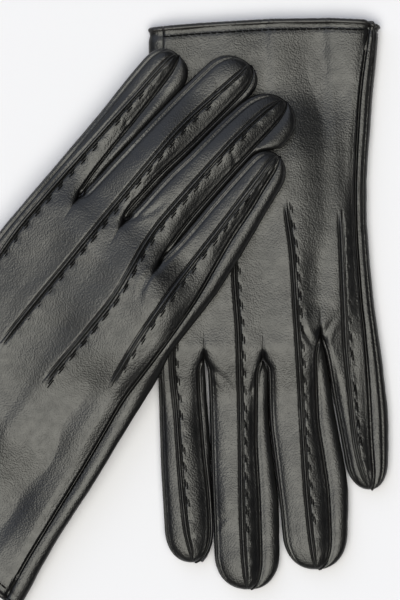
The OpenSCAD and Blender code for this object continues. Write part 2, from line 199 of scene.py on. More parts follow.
# %% Pattern lines of the left and the right glove
# Each finger: left seam, point line, right seam, right edge, tip (v, u), tip length and where the
# point line starts.  Lines that belong to a fork start at the fork; below it they run to the cuff.
FORKS = {
    "left": [(145, -47.6), (145.4, -26.8), (145.9, -0.9), (134.9, 24.4), (134, 50.3)],
    "right": [(154, -50.4), (154.6, -33.8), (159.9, -11.6), (154.2, 12.4), (154, 40.5)],
}
OUTER = {
    "left": {
        "index": [(0, -51), (21, -51.3), (75, -50), (157.5, -46.9), (194, -45.8), (209, -44.9),
                  (236, -43.4)],
        "little": [(0, 50.4), (45, 46.4), (76, 44.9), (120, 48), (152, 52.4), (179, 54.6),
                   (194, 54.3), (204, 53.6)],
    },
    "right": {
        "index": [(0, -38), (33, -40.5), (65, -44.5), (97, -48.5), (127, -50.5), (186, -50.6),
                  (213, -51.4), (231, -51.2)],
        "little": [(0, 64), (33, 57.2), (65, 52.8), (97, 47.5), (116, 44.6), (130, 41.6),
                   (157, 40.3), (175, 38.2), (193, 35.3), (205, 33), (226, 29.5)],
    },
}
LINES = {
    "left": {
        "index": dict(
            left=None,
            point=[(0, -41), (146, -40.9), (167, -39.2), (198, -37), (220, -34.8), (236, -31.5)],
            right=[(145.4, -27.0), (151, -29.3), (182, -27.4), (209, -24.8), (222, -24.2), (236, -25)],
            edge=[(145.4, -26.7), (151, -26.4), (182, -24.2), (209, -22.2), (236, -21.2)],
            tip=(235.8, -32.0), cap=15, start=110),
        "middle": dict(
            left=[(145.4, -26.4), (152, -24.2), (194, -22.7), (224, -21.6), (248, -21)],
            point=[(0, -14), (105, -13.6), (135.5, -11.7), (177, -10.6), (216, -10), (247.7, -8.4)],
            right=[(145.9, -1.2), (152, -3.4), (179, -3.8), (209, -2.4), (248, -1.2)],
            edge=[(145.9, -0.8), (152, 1.2), (179, 3.1), (213, 6.3), (248, 6.8)],
            tip=(247.7, -7.2), cap=17, start=84),
        "ring": dict(
            left=[(145.9, -0.5), (151, 2.2), (170, 2.8), (194, 5.4), (213, 7.7), (240, 10)],
            point=[(0, 3), (79.6, 9.2), (100, 11.9), (133, 14), (160, 15.7), (179, 16.7), (209, 18.7),
                   (240, 22)],
            right=[(134.9, 24.1), (145, 22.5), (171, 23.3), (190, 26), (205, 28), (240, 29.5)],
            edge=[(134.9, 24.5), (143.4, 26.6), (171, 31.0), (190, 34.6), (205, 36.8), (240, 36)],
            tip=(238.9, 22.5), cap=16, start=79.6),
        "little": dict(
            left=[(134.9, 24.9), (142.6, 27.4), (163.7, 31.2), (186, 35.4), (204, 38.5)],
            point=[(0, 29), (83, 33), (137, 35.6), (160, 37.6), (183, 40), (204, 45)],
            right=[(0, 46), (36.5, 41.4), (76, 39.8), (120, 42.2), (133, 43.6), (160, 45.8), (183, 47),
                   (204, 48.6)],
            edge=None, tip=(203.7, 46.3), cap=12, start=83),
    },
    "right": {
        "index": dict(
            left=None,
            point=[(0, -22), (60, -34), (105, -43), (134, -45.1), (228.6, -43.2)],
            right=[(154.4, -34.0), (157.4, -34.9), (175, -36.2), (199, -36.9), (224, -38.2),
                   (231, -39)],
            edge=[(154.4, -33.7), (165, -32.8), (184, -31.7), (206, -30.4), (231, -29.6)],
            tip=(230.6, -41), cap=12, start=100),
        "middle": dict(
            left=[(154.4, -33.4), (157, -32.5), (173, -31.5), (199, -30.2), (220, -28.9), (248, -26)],
            point=[(0, -5), (85, -17.5), (154, -19.2), (201, -19.6), (246, -14.6)],
            right=[(159.8, -11.9), (163.6, -13.6), (179, -13.3), (206, -10.8), (237, -8.5), (248, -8)],
            edge=[(159.8, -11.5), (165, -10.8), (187, -9.9), (218, -7.2), (242, -3.6), (248, -3.2)],
            tip=(247.6, -15), cap=13, start=85),
        "ring": dict(
            left=[(159.8, -11.1), (163, -10.3), (187, -9.3), (200, -8.0), (219, -6.6), (245, -3)],
            point=[(0, 18), (85, 7.6), (125, 6.9), (171, 0.8), (210, 1.5), (245, 4.6)],
            right=[(154.4, 12.1), (162, 11), (182, 9.8), (199, 10), (229, 11.2), (246, 12.2)],
            edge=[(154.4, 12.5), (175, 12.7), (205, 14.5), (226, 19.6), (246, 20.6)],
            tip=(245.6, 7.5), cap=15, start=85),
        "little": dict(
            left=[(154.4, 12.9), (174, 13.4), (192, 13.2), (205, 13.4), (226, 14.2)],
            point=[(0, 44), (102.7, 30.3), (127, 26.4), (156, 23.7), (187.5, 22.1), (226, 19.9)],
            right=[(0, 56.3), (20, 52.3), (35, 49.9), (47, 48), (67, 44.8), (80, 42.5), (102, 38.8),
                   (125, 37.5), (149, 35.3), (187, 28.8), (199, 27.4), (212, 25.2), (226, 23.4)],
            edge=None, tip=(225.4, 21), cap=10, start=102.7),
    },
}


def border_places(side, border):
    """The part of a border between two lanes that runs from the cuff to its fork."""
    low, high = CUFF_ENDS[side]
    cuff_u = mix(low, high, border / 4)
    fork_v, fork_u = FORKS[side][border]
    return [(0, cuff_u), (fork_v * 0.5, mix(cuff_u, fork_u, 0.5)), (fork_v, fork_u)]


def from_fork(side, border, places):
    """A line that follows a border up to its fork and then goes through its own places."""
    fork_v, fork_u = FORKS[side][border]
    below = curve(border_places(side, border))
    beyond = curve([(fork_v, fork_u)] + [p for p in places if p[0] > fork_v + 2])

    def at(v):
        return np.where(v <= fork_v, below(v), beyond(v))

    return at


def seam_lines(side):
    """The pattern lines of one glove as curves of v."""
    made = []
    for i, finger in enumerate(FINGERS):
        lines = LINES[side][finger]
        made.append({
            "point": curve(lines["point"]),
            "left": from_fork(side, i, lines["left"]) if i else curve(OUTER[side]["index"]),
            "right": from_fork(side, i + 1, lines["right"]) if i < 3 else curve(lines["right"]),
            "edge": from_fork(side, i + 1, lines["edge"]) if i < 3 else curve(OUTER[side]["little"]),
            "tip": lines["tip"], "cap": lines["cap"], "start": lines["start"],
        })
    return made


PLAN = {side: seam_lines(side) for side in SIDES}
print("forks:", {side: FORKS[side][1:4] for side in SIDES})

# %% [markdown]
# A finger of an empty glove is a flattened tube: back, palm, and a side strip (fourchette) on
# each side that shows as a narrow band beyond the right seam.  All places below are functions
# of the plan, so the leather, the linings and the stitches agree with one another.

# %% Lines of one lane at a distance v from the cuff
SIDE_OVERHANG = 0.8   # the left side strip bulges this far beyond its seam
PALM_INSET = 1.6      # the palm seams lie this far inside the edges
STRIP_GAP = 0.25      # between the side strips of two fingers
LEAST_BAND = 0.6      # narrowest side band that still shows


def lane_lines(side, i, v):
    """Seams, point line and edges of a lane at v, and how far its forks have opened."""
    plan = PLAN[side][i]
    fork_left = FORKS[side][i][0]
    fork_right = FORKS[side][i + 1][0]
    opened_left = ramp(v, fork_left, fork_left + 5) if i else 1.0 + 0 * v
    opened_right = ramp(v, fork_right, fork_right + 5) if i < 3 else 1.0 + 0 * v
    point = plan["point"](v)
    if i:
        left = plan["left"](v)
        edge_left = left - SIDE_OVERHANG * opened_left
    else:
        # the thumb-side seam shows beside the cuff and then slips over the edge
        edge_left = plan["left"](v)
        left = edge_left + 0.7 + 5.4 * (1 - ramp(v, 20, 80))
    right = plan["right"](v)
    edge = plan["edge"](v)
    if i < 3:
        beside = PLAN[side][i + 1]
        limit = beside["left"](v) - (SIDE_OVERHANG + STRIP_GAP) * opened_right
        clear = ramp(v, beside["tip"][0] - 8, beside["tip"][0] + 5)
        edge = np.minimum(edge, mix(limit, np.maximum(edge, limit), clear))
        edge = np.maximum(edge, right + LEAST_BAND * opened_right)
    return {"left": left, "point": point, "right": right, "edge": edge, "edge_left": edge_left,
            "palm_left": edge_left + PALM_INSET * opened_left,
            "palm_right": edge - PALM_INSET * opened_right,
            "opened_left": opened_left, "opened_right": opened_right}


TIP_POWER = 2.3       # 2 would be a round fingertip, more is a squarer one


def cap_scale(side, i, v):
    """How much of its width a finger keeps at v: 1 along the finger and 0 at the tip."""
    tip_v = PLAN[side][i]["tip"][0]
    cap = PLAN[side][i]["cap"]
    q = np.clip((v - (tip_v - cap)) / cap, 0, 1)
    return np.clip(1 - q ** TIP_POWER, 0, 1) ** (1 / TIP_POWER)


def settle(side, i, v, u, z):
    """Plan place of a lane to the table, with the rounding of the tip."""
    tip_u = PLAN[side][i]["tip"][1]
    c = cap_scale(side, i, v)
    return place(side, tip_u + (u - tip_u) * c, v, z * c ** 0.75)


print("left index at v=180:",
      {k: round(float(x), 1) for k, x in lane_lines("left", 0, 180.0).items()})


# %% Heights across the back, the side bands and the palm
CROWN = 5.2             # height of the back at a point line
LANE_BORDER = 4.75      # height of the hand between two point lines
FORK_FLOOR = 1.2        # height of the hollow at a fork
SEAM_LEFT, SEAM_RIGHT = 2.3, 0.7           # height of a finger's seams
THUMB_SIDE_SEAM, LITTLE_SIDE_SEAM = (3.6, 1.6), (2.2, 1.2)   # near the cuff and farther on
PALM_SEAM = -2.8
PALM_FLOOR = -HALF + 0.3
BAND_FALL = 1.2         # how fast a side band falls from its seam
NEAR_FORK_POWER, FINGER_POWER = 9.0, 2.6   # how steeply the back falls to a seam
FORK_FULL, LEFT_FULL, RIGHT_FULL = 0.95, 0.88, 0.74   # share of the rise that is steep


def seam_heights(side, i, v):
    """Heights of the left and the right seam of a lane over the middle plane."""
    fork_left = FORKS[side][i][0]
    fork_right = FORKS[side][i + 1][0]
    hollow_left = mix(LANE_BORDER, FORK_FLOOR, ramp(v, fork_left - 4.5, fork_left + 0.5))
    hollow_right = mix(LANE_BORDER, FORK_FLOOR, ramp(v, fork_right - 4.5, fork_right + 0.5))
    left = mix(hollow_left, SEAM_LEFT, ramp(v, fork_left, fork_left + 14))
    right = mix(hollow_right, SEAM_RIGHT, ramp(v, fork_right, fork_right + 8))
    if i == 0:
        left = mix(*THUMB_SIDE_SEAM, ramp(v, 20, 90)) + 0 * v
    if i == 3:
        right = mix(*LITTLE_SIDE_SEAM, ramp(v, 10, 60)) + 0 * v
    return left, right


def gable(t, fullness, power):
    """From a seam (0) to the point line (1): steep beside the seam, then nearly flat."""
    t = np.clip(t, 0, 1)
    return fullness * np.sqrt(1 - (1 - t) ** power) + (1 - fullness) * t


def back_height(side, i, v, u):
    """Height of the back over the middle plane."""
    line = lane_lines(side, i, v)
    left, right = seam_heights(side, i, v)
    from_left = (u - line["left"]) / (line["point"] - line["left"])
    from_right = (line["right"] - u) / (line["right"] - line["point"])
    fork_left, fork_right = FORKS[side][i][0], FORKS[side][i + 1][0]
    split_left = ramp(v, fork_left - 14, fork_left - 5) if i else 1.0
    split_right = ramp(v, fork_right - 14, fork_right - 5) if i < 3 else 1.0
    power_left = mix(NEAR_FORK_POWER, FINGER_POWER, ramp(v, fork_left + 2, fork_left + 30))
    power_right = mix(NEAR_FORK_POWER, FINGER_POWER, ramp(v, fork_right + 2, fork_right + 30))
    full_left = mix(FORK_FULL, LEFT_FULL, ramp(v, fork_left + 2, fork_left + 25))
    full_right = mix(FORK_FULL, RIGHT_FULL, ramp(v, fork_right + 2, fork_right + 25))
    rise_left = mix(smooth(from_left), gable(from_left, full_left, power_left), split_left)
    rise_right = mix(smooth(from_right), gable(from_right, full_right, power_right), split_right)
    return np.where(u < line["point"], left + (CROWN - left) * rise_left,
                    right + (CROWN - right) * rise_right)


def band_height(side, i, v, t):
    """The band from the right seam (t = 0) to the right edge (t = 1)."""
    line = lane_lines(side, i, v)
    seam = seam_heights(side, i, v)[1]
    width = line["edge"] - line["right"]
    if i < 3:
        risen = ramp(v, FORKS[side][i + 1][0] + 2, FORKS[side][i + 1][0] + 26)
        swell = np.minimum(2.3, 0.7 * width) * (0.35 + 0.65 * risen)
    else:
        swell = 2.5 + 0 * v
    fold = 0.35 * bump(t, 0.62, 0.09) if i == 3 and side == "left" else 0
    return seam * (1 - t) ** BAND_FALL + swell * np.sqrt(np.clip(4 * t * (1 - t), 0, 1)) - fold


def palm_height(side, i, v, t):
    """The palm from its left seam (t = 0) to its right one (t = 1)."""
    near_left = ramp(v, FORKS[side][i][0] - 14, FORKS[side][i][0]) if i else 1.0 + 0 * v
    near_right = ramp(v, FORKS[side][i + 1][0] - 14, FORKS[side][i + 1][0]) if i < 3 else 1.0 + 0 * v
    drop_left = (PALM_FLOOR - PALM_SEAM) * near_left
    drop_right = (PALM_FLOOR - PALM_SEAM) * near_right
    left = np.clip(1 - 2.0 * t, 0, 1)
    right = np.clip(2.0 * t - 1, 0, 1)
    return PALM_FLOOR - drop_left * left ** 4 - drop_right * right ** 4


crown = float(back_height("left", 1, 180.0, -10.6))
print("crown at v=180:", round(crown, 2), "mm over the middle")

# %% [markdown]
# The skin of a glove is sewn together from patches: the back, the palm and the two sides of
# every lane.  Each patch is a grid of plan places; welding their shared borders gives one
# surface whose shading runs smoothly over the places where the leather is cut into pieces.

# %% Rows and columns of the patches
# distances of the columns from a seam and from a point line, in mm
NEAR_SEAM = np.array([0, 0.2, 0.4, 0.6, 0.85, 1.1, 1.4, 1.8, 2.4])
NEAR_POINT = np.array([0, 0.15, 0.3, 0.45, 0.6, 0.75, 0.9, 1.05, 1.25, 1.6, 2.2, 3.0])


def half_columns(width, fine):
    """Shares of a strip from a seam (0) to the point line (1)."""
    if not fine:
        return np.broadcast_to(np.linspace(0, 1, 7), width.shape + (7,))
    shrink = np.minimum(1, width / 9)[..., None]
    start = NEAR_SEAM * shrink
    end = width[..., None] - NEAR_POINT[::-1] * shrink
    between = mix(start[..., -1:], end[..., :1], np.linspace(0, 1, 9)[1:-1])
    return np.concatenate([start, between, end], axis=-1) / width[..., None]


def lane_rows(fine):
    """Stations of the rows: 0 to 1 over the hand, 1 to 2 along the finger."""
    hand = np.linspace(0, 1, 165 if fine else 24)
    finger = np.linspace(0, 1, 120 if fine else 24)[1:]
    finger = 1 - (1 - finger) ** 1.35
    return np.concatenate([hand, 1 + finger])


def row_v(side, i, s, x):
    """Distance from the cuff of station s, at share x of the lane's width."""
    fork = mix(FORKS[side][i][0], FORKS[side][i + 1][0], x)
    tip_v = PLAN[side][i]["tip"][0]
    return np.where(s <= 1, s * fork, fork + (tip_v - fork) * (s - 1))


def plan_place(side, x, y):
    """The plan place (u, v) of a point on the table."""
    if side == "left":
        return x - LEFT_AT[0], LEFT_AT[1] - y
    c, s = math.cos(RIGHT_TURN), math.sin(RIGHT_TURN)
    dx, dy = x - RIGHT_AT[0], y - RIGHT_AT[1]
    return c * dx + s * dy, -s * dx + c * dy


print("rows of a patch:", len(lane_rows(True)), "fine,", len(lane_rows(False)), "coarse")

# %% Where each finger is cut from its hand
HINGES = {joint["name"]: joint for joint in frame["joints"]}
BEND_REACH = 9.0       # a finger bends smoothly over this much on each side of its hinge
CUT_MARGIN = 1.5       # and is cut from the hand this much before that


def finger_hinge(side, finger):
    """Middle of a finger's hinge and the direction of the finger across it, in mm."""
    joint = HINGES[f"{side}_{finger}_bend"]
    middle = np.array(joint["pos_m"]) / MM
    axis = np.array(joint["axis"])
    start = np.array(on_table(side, 0.0, 0.0))
    along = np.append(np.array(on_table(side, 0.0, 1.0)) - start, 0.0)
    along -= axis * (along @ axis)
    return middle, along / np.linalg.norm(along)


def crease_station(side, i):
    """Station where the leather is cut between the hand and a finger."""
    middle, _ = finger_hinge(side, FINGERS[i])
    v = plan_place(side, middle[0], middle[1])[1] - BEND_REACH - CUT_MARGIN
    fork = (FORKS[side][i][0] + FORKS[side][i + 1][0]) / 2
    return 1 + (v - fork) / (PLAN[side][i]["tip"][0] - fork)


CUT = {side: [crease_station(side, i) for i in range(4)] for side in SIDES}
print("fingers start at stations", {side: np.round(CUT[side], 2).tolist() for side in SIDES})

# %% Patches of a lane: back, two sides and palm
def grid(side, i, group, s, v, u, z):
    """A patch: its stations, its places on the plan and its points on the table."""
    return {"side": side, "lane": i, "group": group, "s": s, "v": v, "u": u,
            "co": settle(side, i, v, u, z)}


def patch_back(side, i, fine):
    """The back of a lane, with columns gathered beside its seams and its point line."""
    s = lane_rows(fine)
    mid = row_v(side, i, s, 0.5)
    line = lane_lines(side, i, mid)
    first = half_columns(np.abs(line["point"] - line["left"]), fine)
    second = half_columns(np.abs(line["right"] - line["point"]), fine)
    x_point = ((line["point"] - line["left"]) / (line["right"] - line["left"]))[:, None]
    x = np.concatenate([first * x_point, 1 - (second * (1 - x_point))[:, -2::-1]], axis=1)
    v = row_v(side, i, s[:, None], x)
    line = lane_lines(side, i, v)
    n = first.shape[1]
    t_left = np.concatenate([first, np.ones_like(second[:, 1:])], axis=1)
    t_right = np.concatenate([np.ones_like(first), second[:, -2::-1]], axis=1)
    u = np.where(np.arange(x.shape[1]) < n, mix(line["left"], line["point"], t_left),
                 mix(line["right"], line["point"], t_right))
    z = back_height(side, i, v, u)
    return grid(side, i, "back", s, v, u, z)


# close together beside the seam, along the fold in the middle and at the edge
SIDE_STEPS = np.array([0, 0.015, 0.035, 0.06, 0.09, 0.13, 0.18, 0.24, 0.31, 0.38, 0.45, 0.51,
                       0.56, 0.6, 0.64, 0.68, 0.73, 0.79, 0.85, 0.9, 0.94, 0.97, 0.99, 1.0])
LOWER_STEPS = np.linspace(0, 1, 6)[1:]


def patch_side(side, i, which, fine):
    """A side strip from its back seam around the edge to the palm seam."""
    s = lane_rows(fine)
    if not ((which == "right" and i == 3) or (which == "left" and i == 0)):
        s = s[s >= 1]
    x = 1.0 if which == "right" else 0.0
    v = row_v(side, i, s[:, None], x)
    line = lane_lines(side, i, v)
    seam = seam_heights(side, i, v)[1 if which == "right" else 0]
    upper = SIDE_STEPS if fine else SIDE_STEPS[::4]
    if which == "right":
        u_upper = mix(line["right"], line["edge"], upper)
        z_upper = band_height(side, i, v, upper)
        inset, opened, edge = line["palm_right"], line["opened_right"], line["edge"]
    else:
        bend = np.sin(upper * math.pi / 2)
        u_upper = mix(line["left"], line["edge_left"], bend)
        fall = mix(1 - (1 - upper) ** BAND_FALL, 1 - np.cos(upper * math.pi / 2),
                   line["opened_left"])
        z_upper = seam * (1 - fall)
        inset, opened, edge = line["palm_left"], line["opened_left"], line["edge_left"]
    lower = LOWER_STEPS
    u_lower = mix(edge, inset, 1 - np.cos(lower * math.pi / 2))
    z_lower = PALM_SEAM * mix(lower, np.sin(lower * math.pi / 2), opened)
    u = np.concatenate([u_upper, u_lower], axis=1)
    z = np.concatenate([z_upper, z_lower], axis=1)
    v = np.broadcast_to(v, u.shape)
    return grid(side, i, which, s, v, u, z)


def patch_palm(side, i, fine):
    """The palm of a lane."""
    s = lane_rows(fine)
    x = (1 - np.cos(np.linspace(0, math.pi, 25 if fine else 9))) / 2
    v = row_v(side, i, s[:, None], x)
    line = lane_lines(side, i, v)
    u = mix(line["palm_left"], line["palm_right"], x)
    z = palm_height(side, i, v, x)
    return grid(side, i, "palm", s, v, u, z)


made = patch_back("left", 1, True)
print("a back patch has", made["co"].shape[:2], "places")

# %% [markdown]
# Fine relief: the seams stand up as small beads with a crease beside them, the three point
# lines are narrow tucks sewn from behind, and soft leather is never quite flat.

# %% Soft random swells
def waves(co, size, seed):
    """A smooth random field between about -1 and 1, with features of one size in mm."""
    rng = np.random.default_rng(seed)
    total = np.zeros(co.shape[:-1])
    for _ in range(10):
        direction = rng.normal(size=3) * (1, 1, 0.4)
        direction *= rng.uniform(0.7, 1.5) / np.linalg.norm(direction)
        total += np.sin(co @ direction * (2 * math.pi / size) + rng.uniform(0, 6.3))
    return total / 4.5


def swells(co):
    """Soft unevenness of the leather, in mm."""
    return 0.36 * waves(co, 34.0, 7) + 0.03 * waves(co, 9.0, 3)


def bump(x, middle, width):
    return np.exp(-((x - middle) / width) ** 2)


# Creases lie on the back of a glove: start and end (v, u), width and depth in mm
CREASES = {
    "left": [((141, 22), (122, 16), 1.6, 0.55), ((141, 26), (126, 33), 1.5, 0.5),
             ((150, -24), (166, -13), 1.5, 0.4), ((151, -4), (164, -9), 1.3, 0.4),
             ((222, -22), (214, -14), 1.4, 0.2),
             ((60, -40), (78, -22), 2.6, 0.3)],
    "right": [((158, -12), (176, -19), 1.8, 0.6), ((152, 12), (136, 18), 1.7, 0.4),
              ((162, -10), (182, -4), 1.4, 0.3), ((186, -36), (196, -42), 1.3, 0.3),
              ((206, 12), (214, 2), 1.3, 0.3), ((226, -16), (234, -22), 1.2, 0.3)],
}


# Broad soft ridges and hollows: start and end (v, u), half width and height in mm
FOLDS = {
    "left": [((10, 20), (70, 30), 11, -0.9), ((70, 38), (128, 31), 7, 0.7),
             ((95, -20), (20, -8), 13, 0.8),
             ((180, 42), (140, 38), 5, -0.5), ((128, 22), (100, 23), 6, -0.8)],
    "right": [((104, 34), (28, 47), 7.5, 1.1), ((100, 20), (20, 33), 10, -1.2),
              ((60, -20), (120, -30), 12, 0.9),
              ((150, 10), (110, 18), 9, -0.5), ((152, -12), (124, -4), 9, -0.4)],
}


def beside_line(start, end, v, u):
    """Places as distances along a straight line and off it, and the line's length."""
    (v0, u0), (v1, u1) = start, end
    along = np.array([v1 - v0, u1 - u0], float)
    length = np.hypot(*along)
    along /= length
    t = (v - v0) * along[0] + (u - u0) * along[1]
    off = (u - u0) * along[0] - (v - v0) * along[1]
    return t, off, length


def folds(side, v, u):
    """Height of the broad folds of a glove's back, in mm."""
    total = np.zeros(np.shape(u))
    for start, end, width, height in FOLDS[side]:
        t, off, length = beside_line(start, end, v, u)
        reach = ramp(t, -0.35 * length, 0.25 * length) * (1 - ramp(t, 0.75 * length, 1.35 * length))
        total += reach * height * bump(off, 0, width)
    return total


def creases(side, v, u):
    """Height of the slightly bowed creases and of the low ridge beside each, in mm."""
    total = np.zeros(np.shape(u))
    for start, end, width, depth in CREASES[side]:
        t, off, length = beside_line(start, end, v, u)
        off = off - 0.12 * length * np.sin(np.clip(t / length, 0, 1) * math.pi)
        reach = ramp(t, -1, 0.18 * length) * (1 - ramp(t, 0.55 * length, length))
        total += reach * depth * (0.3 * bump(np.abs(off), 1.6 * width, 0.8 * width)
                                  - 0.6 * bump(off, 0, 0.75 * width))
    return total


print("creases:", {side: len(CREASES[side]) for side in SIDES},
      "folds:", {side: len(FOLDS[side]) for side in SIDES})


# %% Relief of each patch
BEAD_HEIGHT = {"left": 0.15, "right": 0.55}   # one pair of seams was pressed flatter
FLAT_BEAD = 0.35       # height of the beads of the other seams
OUTER_GROOVE = 1.0     # depth of the groove along the little finger's side seam
TUCK_HEIGHT = 0.6      # height of a point line
STITCH_OFF = 2.2       # distance of the stitches from their tuck
STITCH_PITCH = 7.6     # from one stitch of a point line to the next
HALF_STITCH = 2.2      # half the length of a stitch, with its holes
STITCHES_END = 13      # a row of stitches ends this far before the fingertip
CUFF_STITCH_V = 2.9    # distance of the machine stitches from the cuff's edge
CUFF_STITCH_PITCH = 2.8
TABLE_GAP = 0.05 * MM  # least height of anything over the table


def opened_seams(i, v, line):
    """How far the seams of a lane stand open; the outer ones start just past the cuff."""
    past_cuff = ramp(v, 6, 12)
    left = line["opened_left"] * (past_cuff if i == 0 else 1)
    right = line["opened_right"] * (past_cuff if i == 3 else 1)
    return left, right


def back_relief(patch, line, near_tip):
    """Swells and folds, the beads of both seams, and the tuck with its stitches' slots."""
    side, i, v, u = (patch[k] for k in ("side", "lane", "v", "u"))
    start = PLAN[side][i]["start"]
    seam_left, seam_right = opened_seams(i, v, line)
    from_left = np.abs(u - line["left"])
    from_right = np.abs(line["right"] - u)
    # the leather lies still only beside a real seam, not at a border between two lanes
    calm_left = 1 - line["opened_left"] * (1 - np.clip(from_left / 5, 0.1, 1))
    calm_right = 1 - line["opened_right"] * (1 - np.clip(from_right / 5, 0.1, 1))
    total = (swells(patch["co"] / MM) + folds(side, v, u)) * calm_left * calm_right
    bead = BEAD_HEIGHT[side]
    total += seam_left * near_tip * (bead * bump(from_left, 0.6, 0.42)
                                     - 0.8 * bead * bump(from_left, 1.45, 0.4)
                                     - 0.35 * bump(from_left, 0, 0.22))
    groove = OUTER_GROOVE if i == 3 else 0.4
    total += seam_right * near_tip * (FLAT_BEAD * bump(from_right, 1.1, 0.5)
                                      - groove * bump(from_right, 0, 0.55))
    off = u - line["point"]
    tuck = ramp(v, start - 4, start + 8) * near_tip
    total += tuck * (TUCK_HEIGHT * bump(off, 0, 0.5) - 0.6 * bump(off, -0.98, 0.27)
                     - 0.8 * bump(off, 0.98, 0.29))
    # each stitch pulls the leather down and leaves it standing between them
    slot = np.clip(np.cos(2 * math.pi * (v - start) / STITCH_PITCH), 0, 1) ** 0.5
    total -= tuck * 0.2 * slot * bump(off, STITCH_OFF, 0.9)
    total += tuck * 0.06 * (1 - slot) * bump(off, STITCH_OFF + 0.5, 1.5)
    return total + creases(side, v, u)


def palm_relief(patch, line, near_tip):
    """Swells and a low bead along both palm seams."""
    u = patch["u"]
    from_side = np.minimum(np.abs(u - line["palm_left"]), np.abs(u - line["palm_right"]))
    total = swells(patch["co"] / MM) * np.clip(from_side / 3, 0.2, 1)
    sewn = np.maximum(line["opened_left"] * (u < line["point"]),
                      line["opened_right"] * (u > line["point"]))
    return total + sewn * near_tip * (FLAT_BEAD * bump(from_side, 0.6, 0.42)
                                      - 0.25 * bump(from_side, 1.3, 0.4))


def side_relief(patch, line, near_tip):
    """A side strip: calmer swells and the bead along its seam with the back."""
    side, i, group, v, u = (patch[k] for k in ("side", "lane", "group", "v", "u"))
    opened = opened_seams(i, v, line)[1 if group == "right" else 0]
    below = np.arange(u.shape[1]) >= len(SIDE_STEPS)
    from_seam = np.abs(u - line[group]) + 3.0 * below
    calm = np.clip(from_seam / 2, 0, 1)
    total = 0.25 * swells(patch["co"] / MM) * calm
    height = BEAD_HEIGHT[side] if group == "left" else FLAT_BEAD
    sewn = i > 0 or group == "right"
    total += opened * near_tip * height * bump(from_seam, 0.75, 0.35) * sewn
    if i == 3 and group == "right":
        total -= OUTER_GROOVE * opened * near_tip * bump(from_seam, 0, 0.55)
    return total + 0.08 * waves(patch["co"] / MM, 12.0, 5) * calm


RELIEFS = {"back": back_relief, "palm": palm_relief, "left": side_relief, "right": side_relief}


def relief(patch):
    """Height of the fine relief over the smooth skin, in mm."""
    side, i, v = patch["side"], patch["lane"], patch["v"]
    line = lane_lines(side, i, v)
    tip_v = PLAN[side][i]["tip"][0]
    near_tip = 1 - ramp(v, tip_v - 6, tip_v)
    cuff = -0.8 * bump(v, 1.4, 0.5) - 0.35 * bump(v, CUFF_STITCH_V, 0.6)
    return RELIEFS[patch["group"]](patch, line, near_tip) + cuff


print("tuck stands", TUCK_HEIGHT, "mm; beads stand", BEAD_HEIGHT, "in mm")

# %% Weld the patches of one glove into a skin
def patch_faces(shape):
    """Quads between the rows and columns of a patch."""
    rows, cols = shape
    a = (np.arange(rows - 1)[:, None] * cols + np.arange(cols - 1)[None, :]).ravel()
    return np.stack([a, a + 1, a + cols + 1, a + cols], axis=1)


def weld(patches):
    """One set of vertices for all patches, with faces tagged by patch and station."""
    points = np.concatenate([p["co"].reshape(-1, 3) for p in patches])
    keys = np.round(points / MM * 2000 + 0.237).astype(np.int64)
    _, first, index = np.unique(keys, axis=0, return_index=True, return_inverse=True)
    index = index.reshape(-1)
    count = np.bincount(index)
    faces, tags, start = [], [], 0
    for number, p in enumerate(patches):
        shape = p["co"].shape[:2]
        quads = patch_faces(shape)
        if p["flip"]:
            quads = quads[:, ::-1]
        station = ((p["s"][:-1] + p["s"][1:]) / 2)[:, None]
        faces.append(index[quads + start])
        station = np.broadcast_to(station, (shape[0] - 1, shape[1] - 1)).ravel()
        tags.append(np.stack([np.full(len(quads), number), station], axis=1))
        start += shape[0] * shape[1]
    return {"co": points[first], "index": index, "count": count,
            "faces": np.concatenate(faces), "tags": np.concatenate(tags)}


def normals_of(co, faces):
    """Vertex normals, weighted by the areas of the faces around each."""
    a, b, c, d = (co[faces[:, k]] for k in range(4))
    face_normals = np.cross(c - a, d - b)
    total = np.zeros_like(co)
    for k in range(4):
        np.add.at(total, faces[:, k], face_normals)
    length = np.linalg.norm(total, axis=1, keepdims=True)
    return total / np.maximum(length, 1e-20)


def smooth_skin(patches):
    """Welded patches without relief."""
    skin = weld(patches)
    skin["patches"] = patches
    skin["smooth"] = skin["co"]
    skin["normals"] = skin["smooth_normals"] = normals_of(skin["co"], skin["faces"])
    return skin


def glove_skin(side, fine):
    """The whole skin of a glove without its thumb: smooth places, relief and normals."""
    patches = []
    for i in range(4):
        patches += [patch_back(side, i, fine), patch_side(side, i, "right", fine),
                    patch_palm(side, i, fine), patch_side(side, i, "left", fine)]
    for p in patches:
        p["flip"] = (p["group"] in ("back", "right")) == (side == "left")
    skin = smooth_skin(patches)
    if fine:
        raised = np.concatenate([relief(p).ravel() for p in patches])
        raised = np.bincount(skin["index"], weights=raised) / skin["count"]
        skin["co"] = skin["smooth"] + skin["smooth_normals"] * (raised * MM)[:, None]
        skin["co"][:, 2] = np.maximum(skin["co"][:, 2], TABLE_GAP)
        skin["normals"] = normals_of(skin["co"], skin["faces"])
    return skin


SKIN = {side: glove_skin(side, True) for side in SIDES}
COARSE = {side: glove_skin(side, False) for side in SIDES}
for side in SIDES:
    print(side, "skin:", len(SKIN[side]["co"]), "places,", len(SKIN[side]["faces"]), "faces;",
          "mean up on the back", round(float(SKIN[side]["normals"][:, 2].mean()), 3))


# %% [markdown]
# A glove is made of one thickness of leather everywhere, so each piece is its share of the
# skin with an inner face set about a millimetre inside and a narrow cut edge around it.

# %% Pieces cut from a skin
LEATHER = 0.9          # thickness of the leather
STRIP_LEATHER = 0.6    # the side strips are pared thinner
PAST_TIP = 9           # a station beyond every fingertip


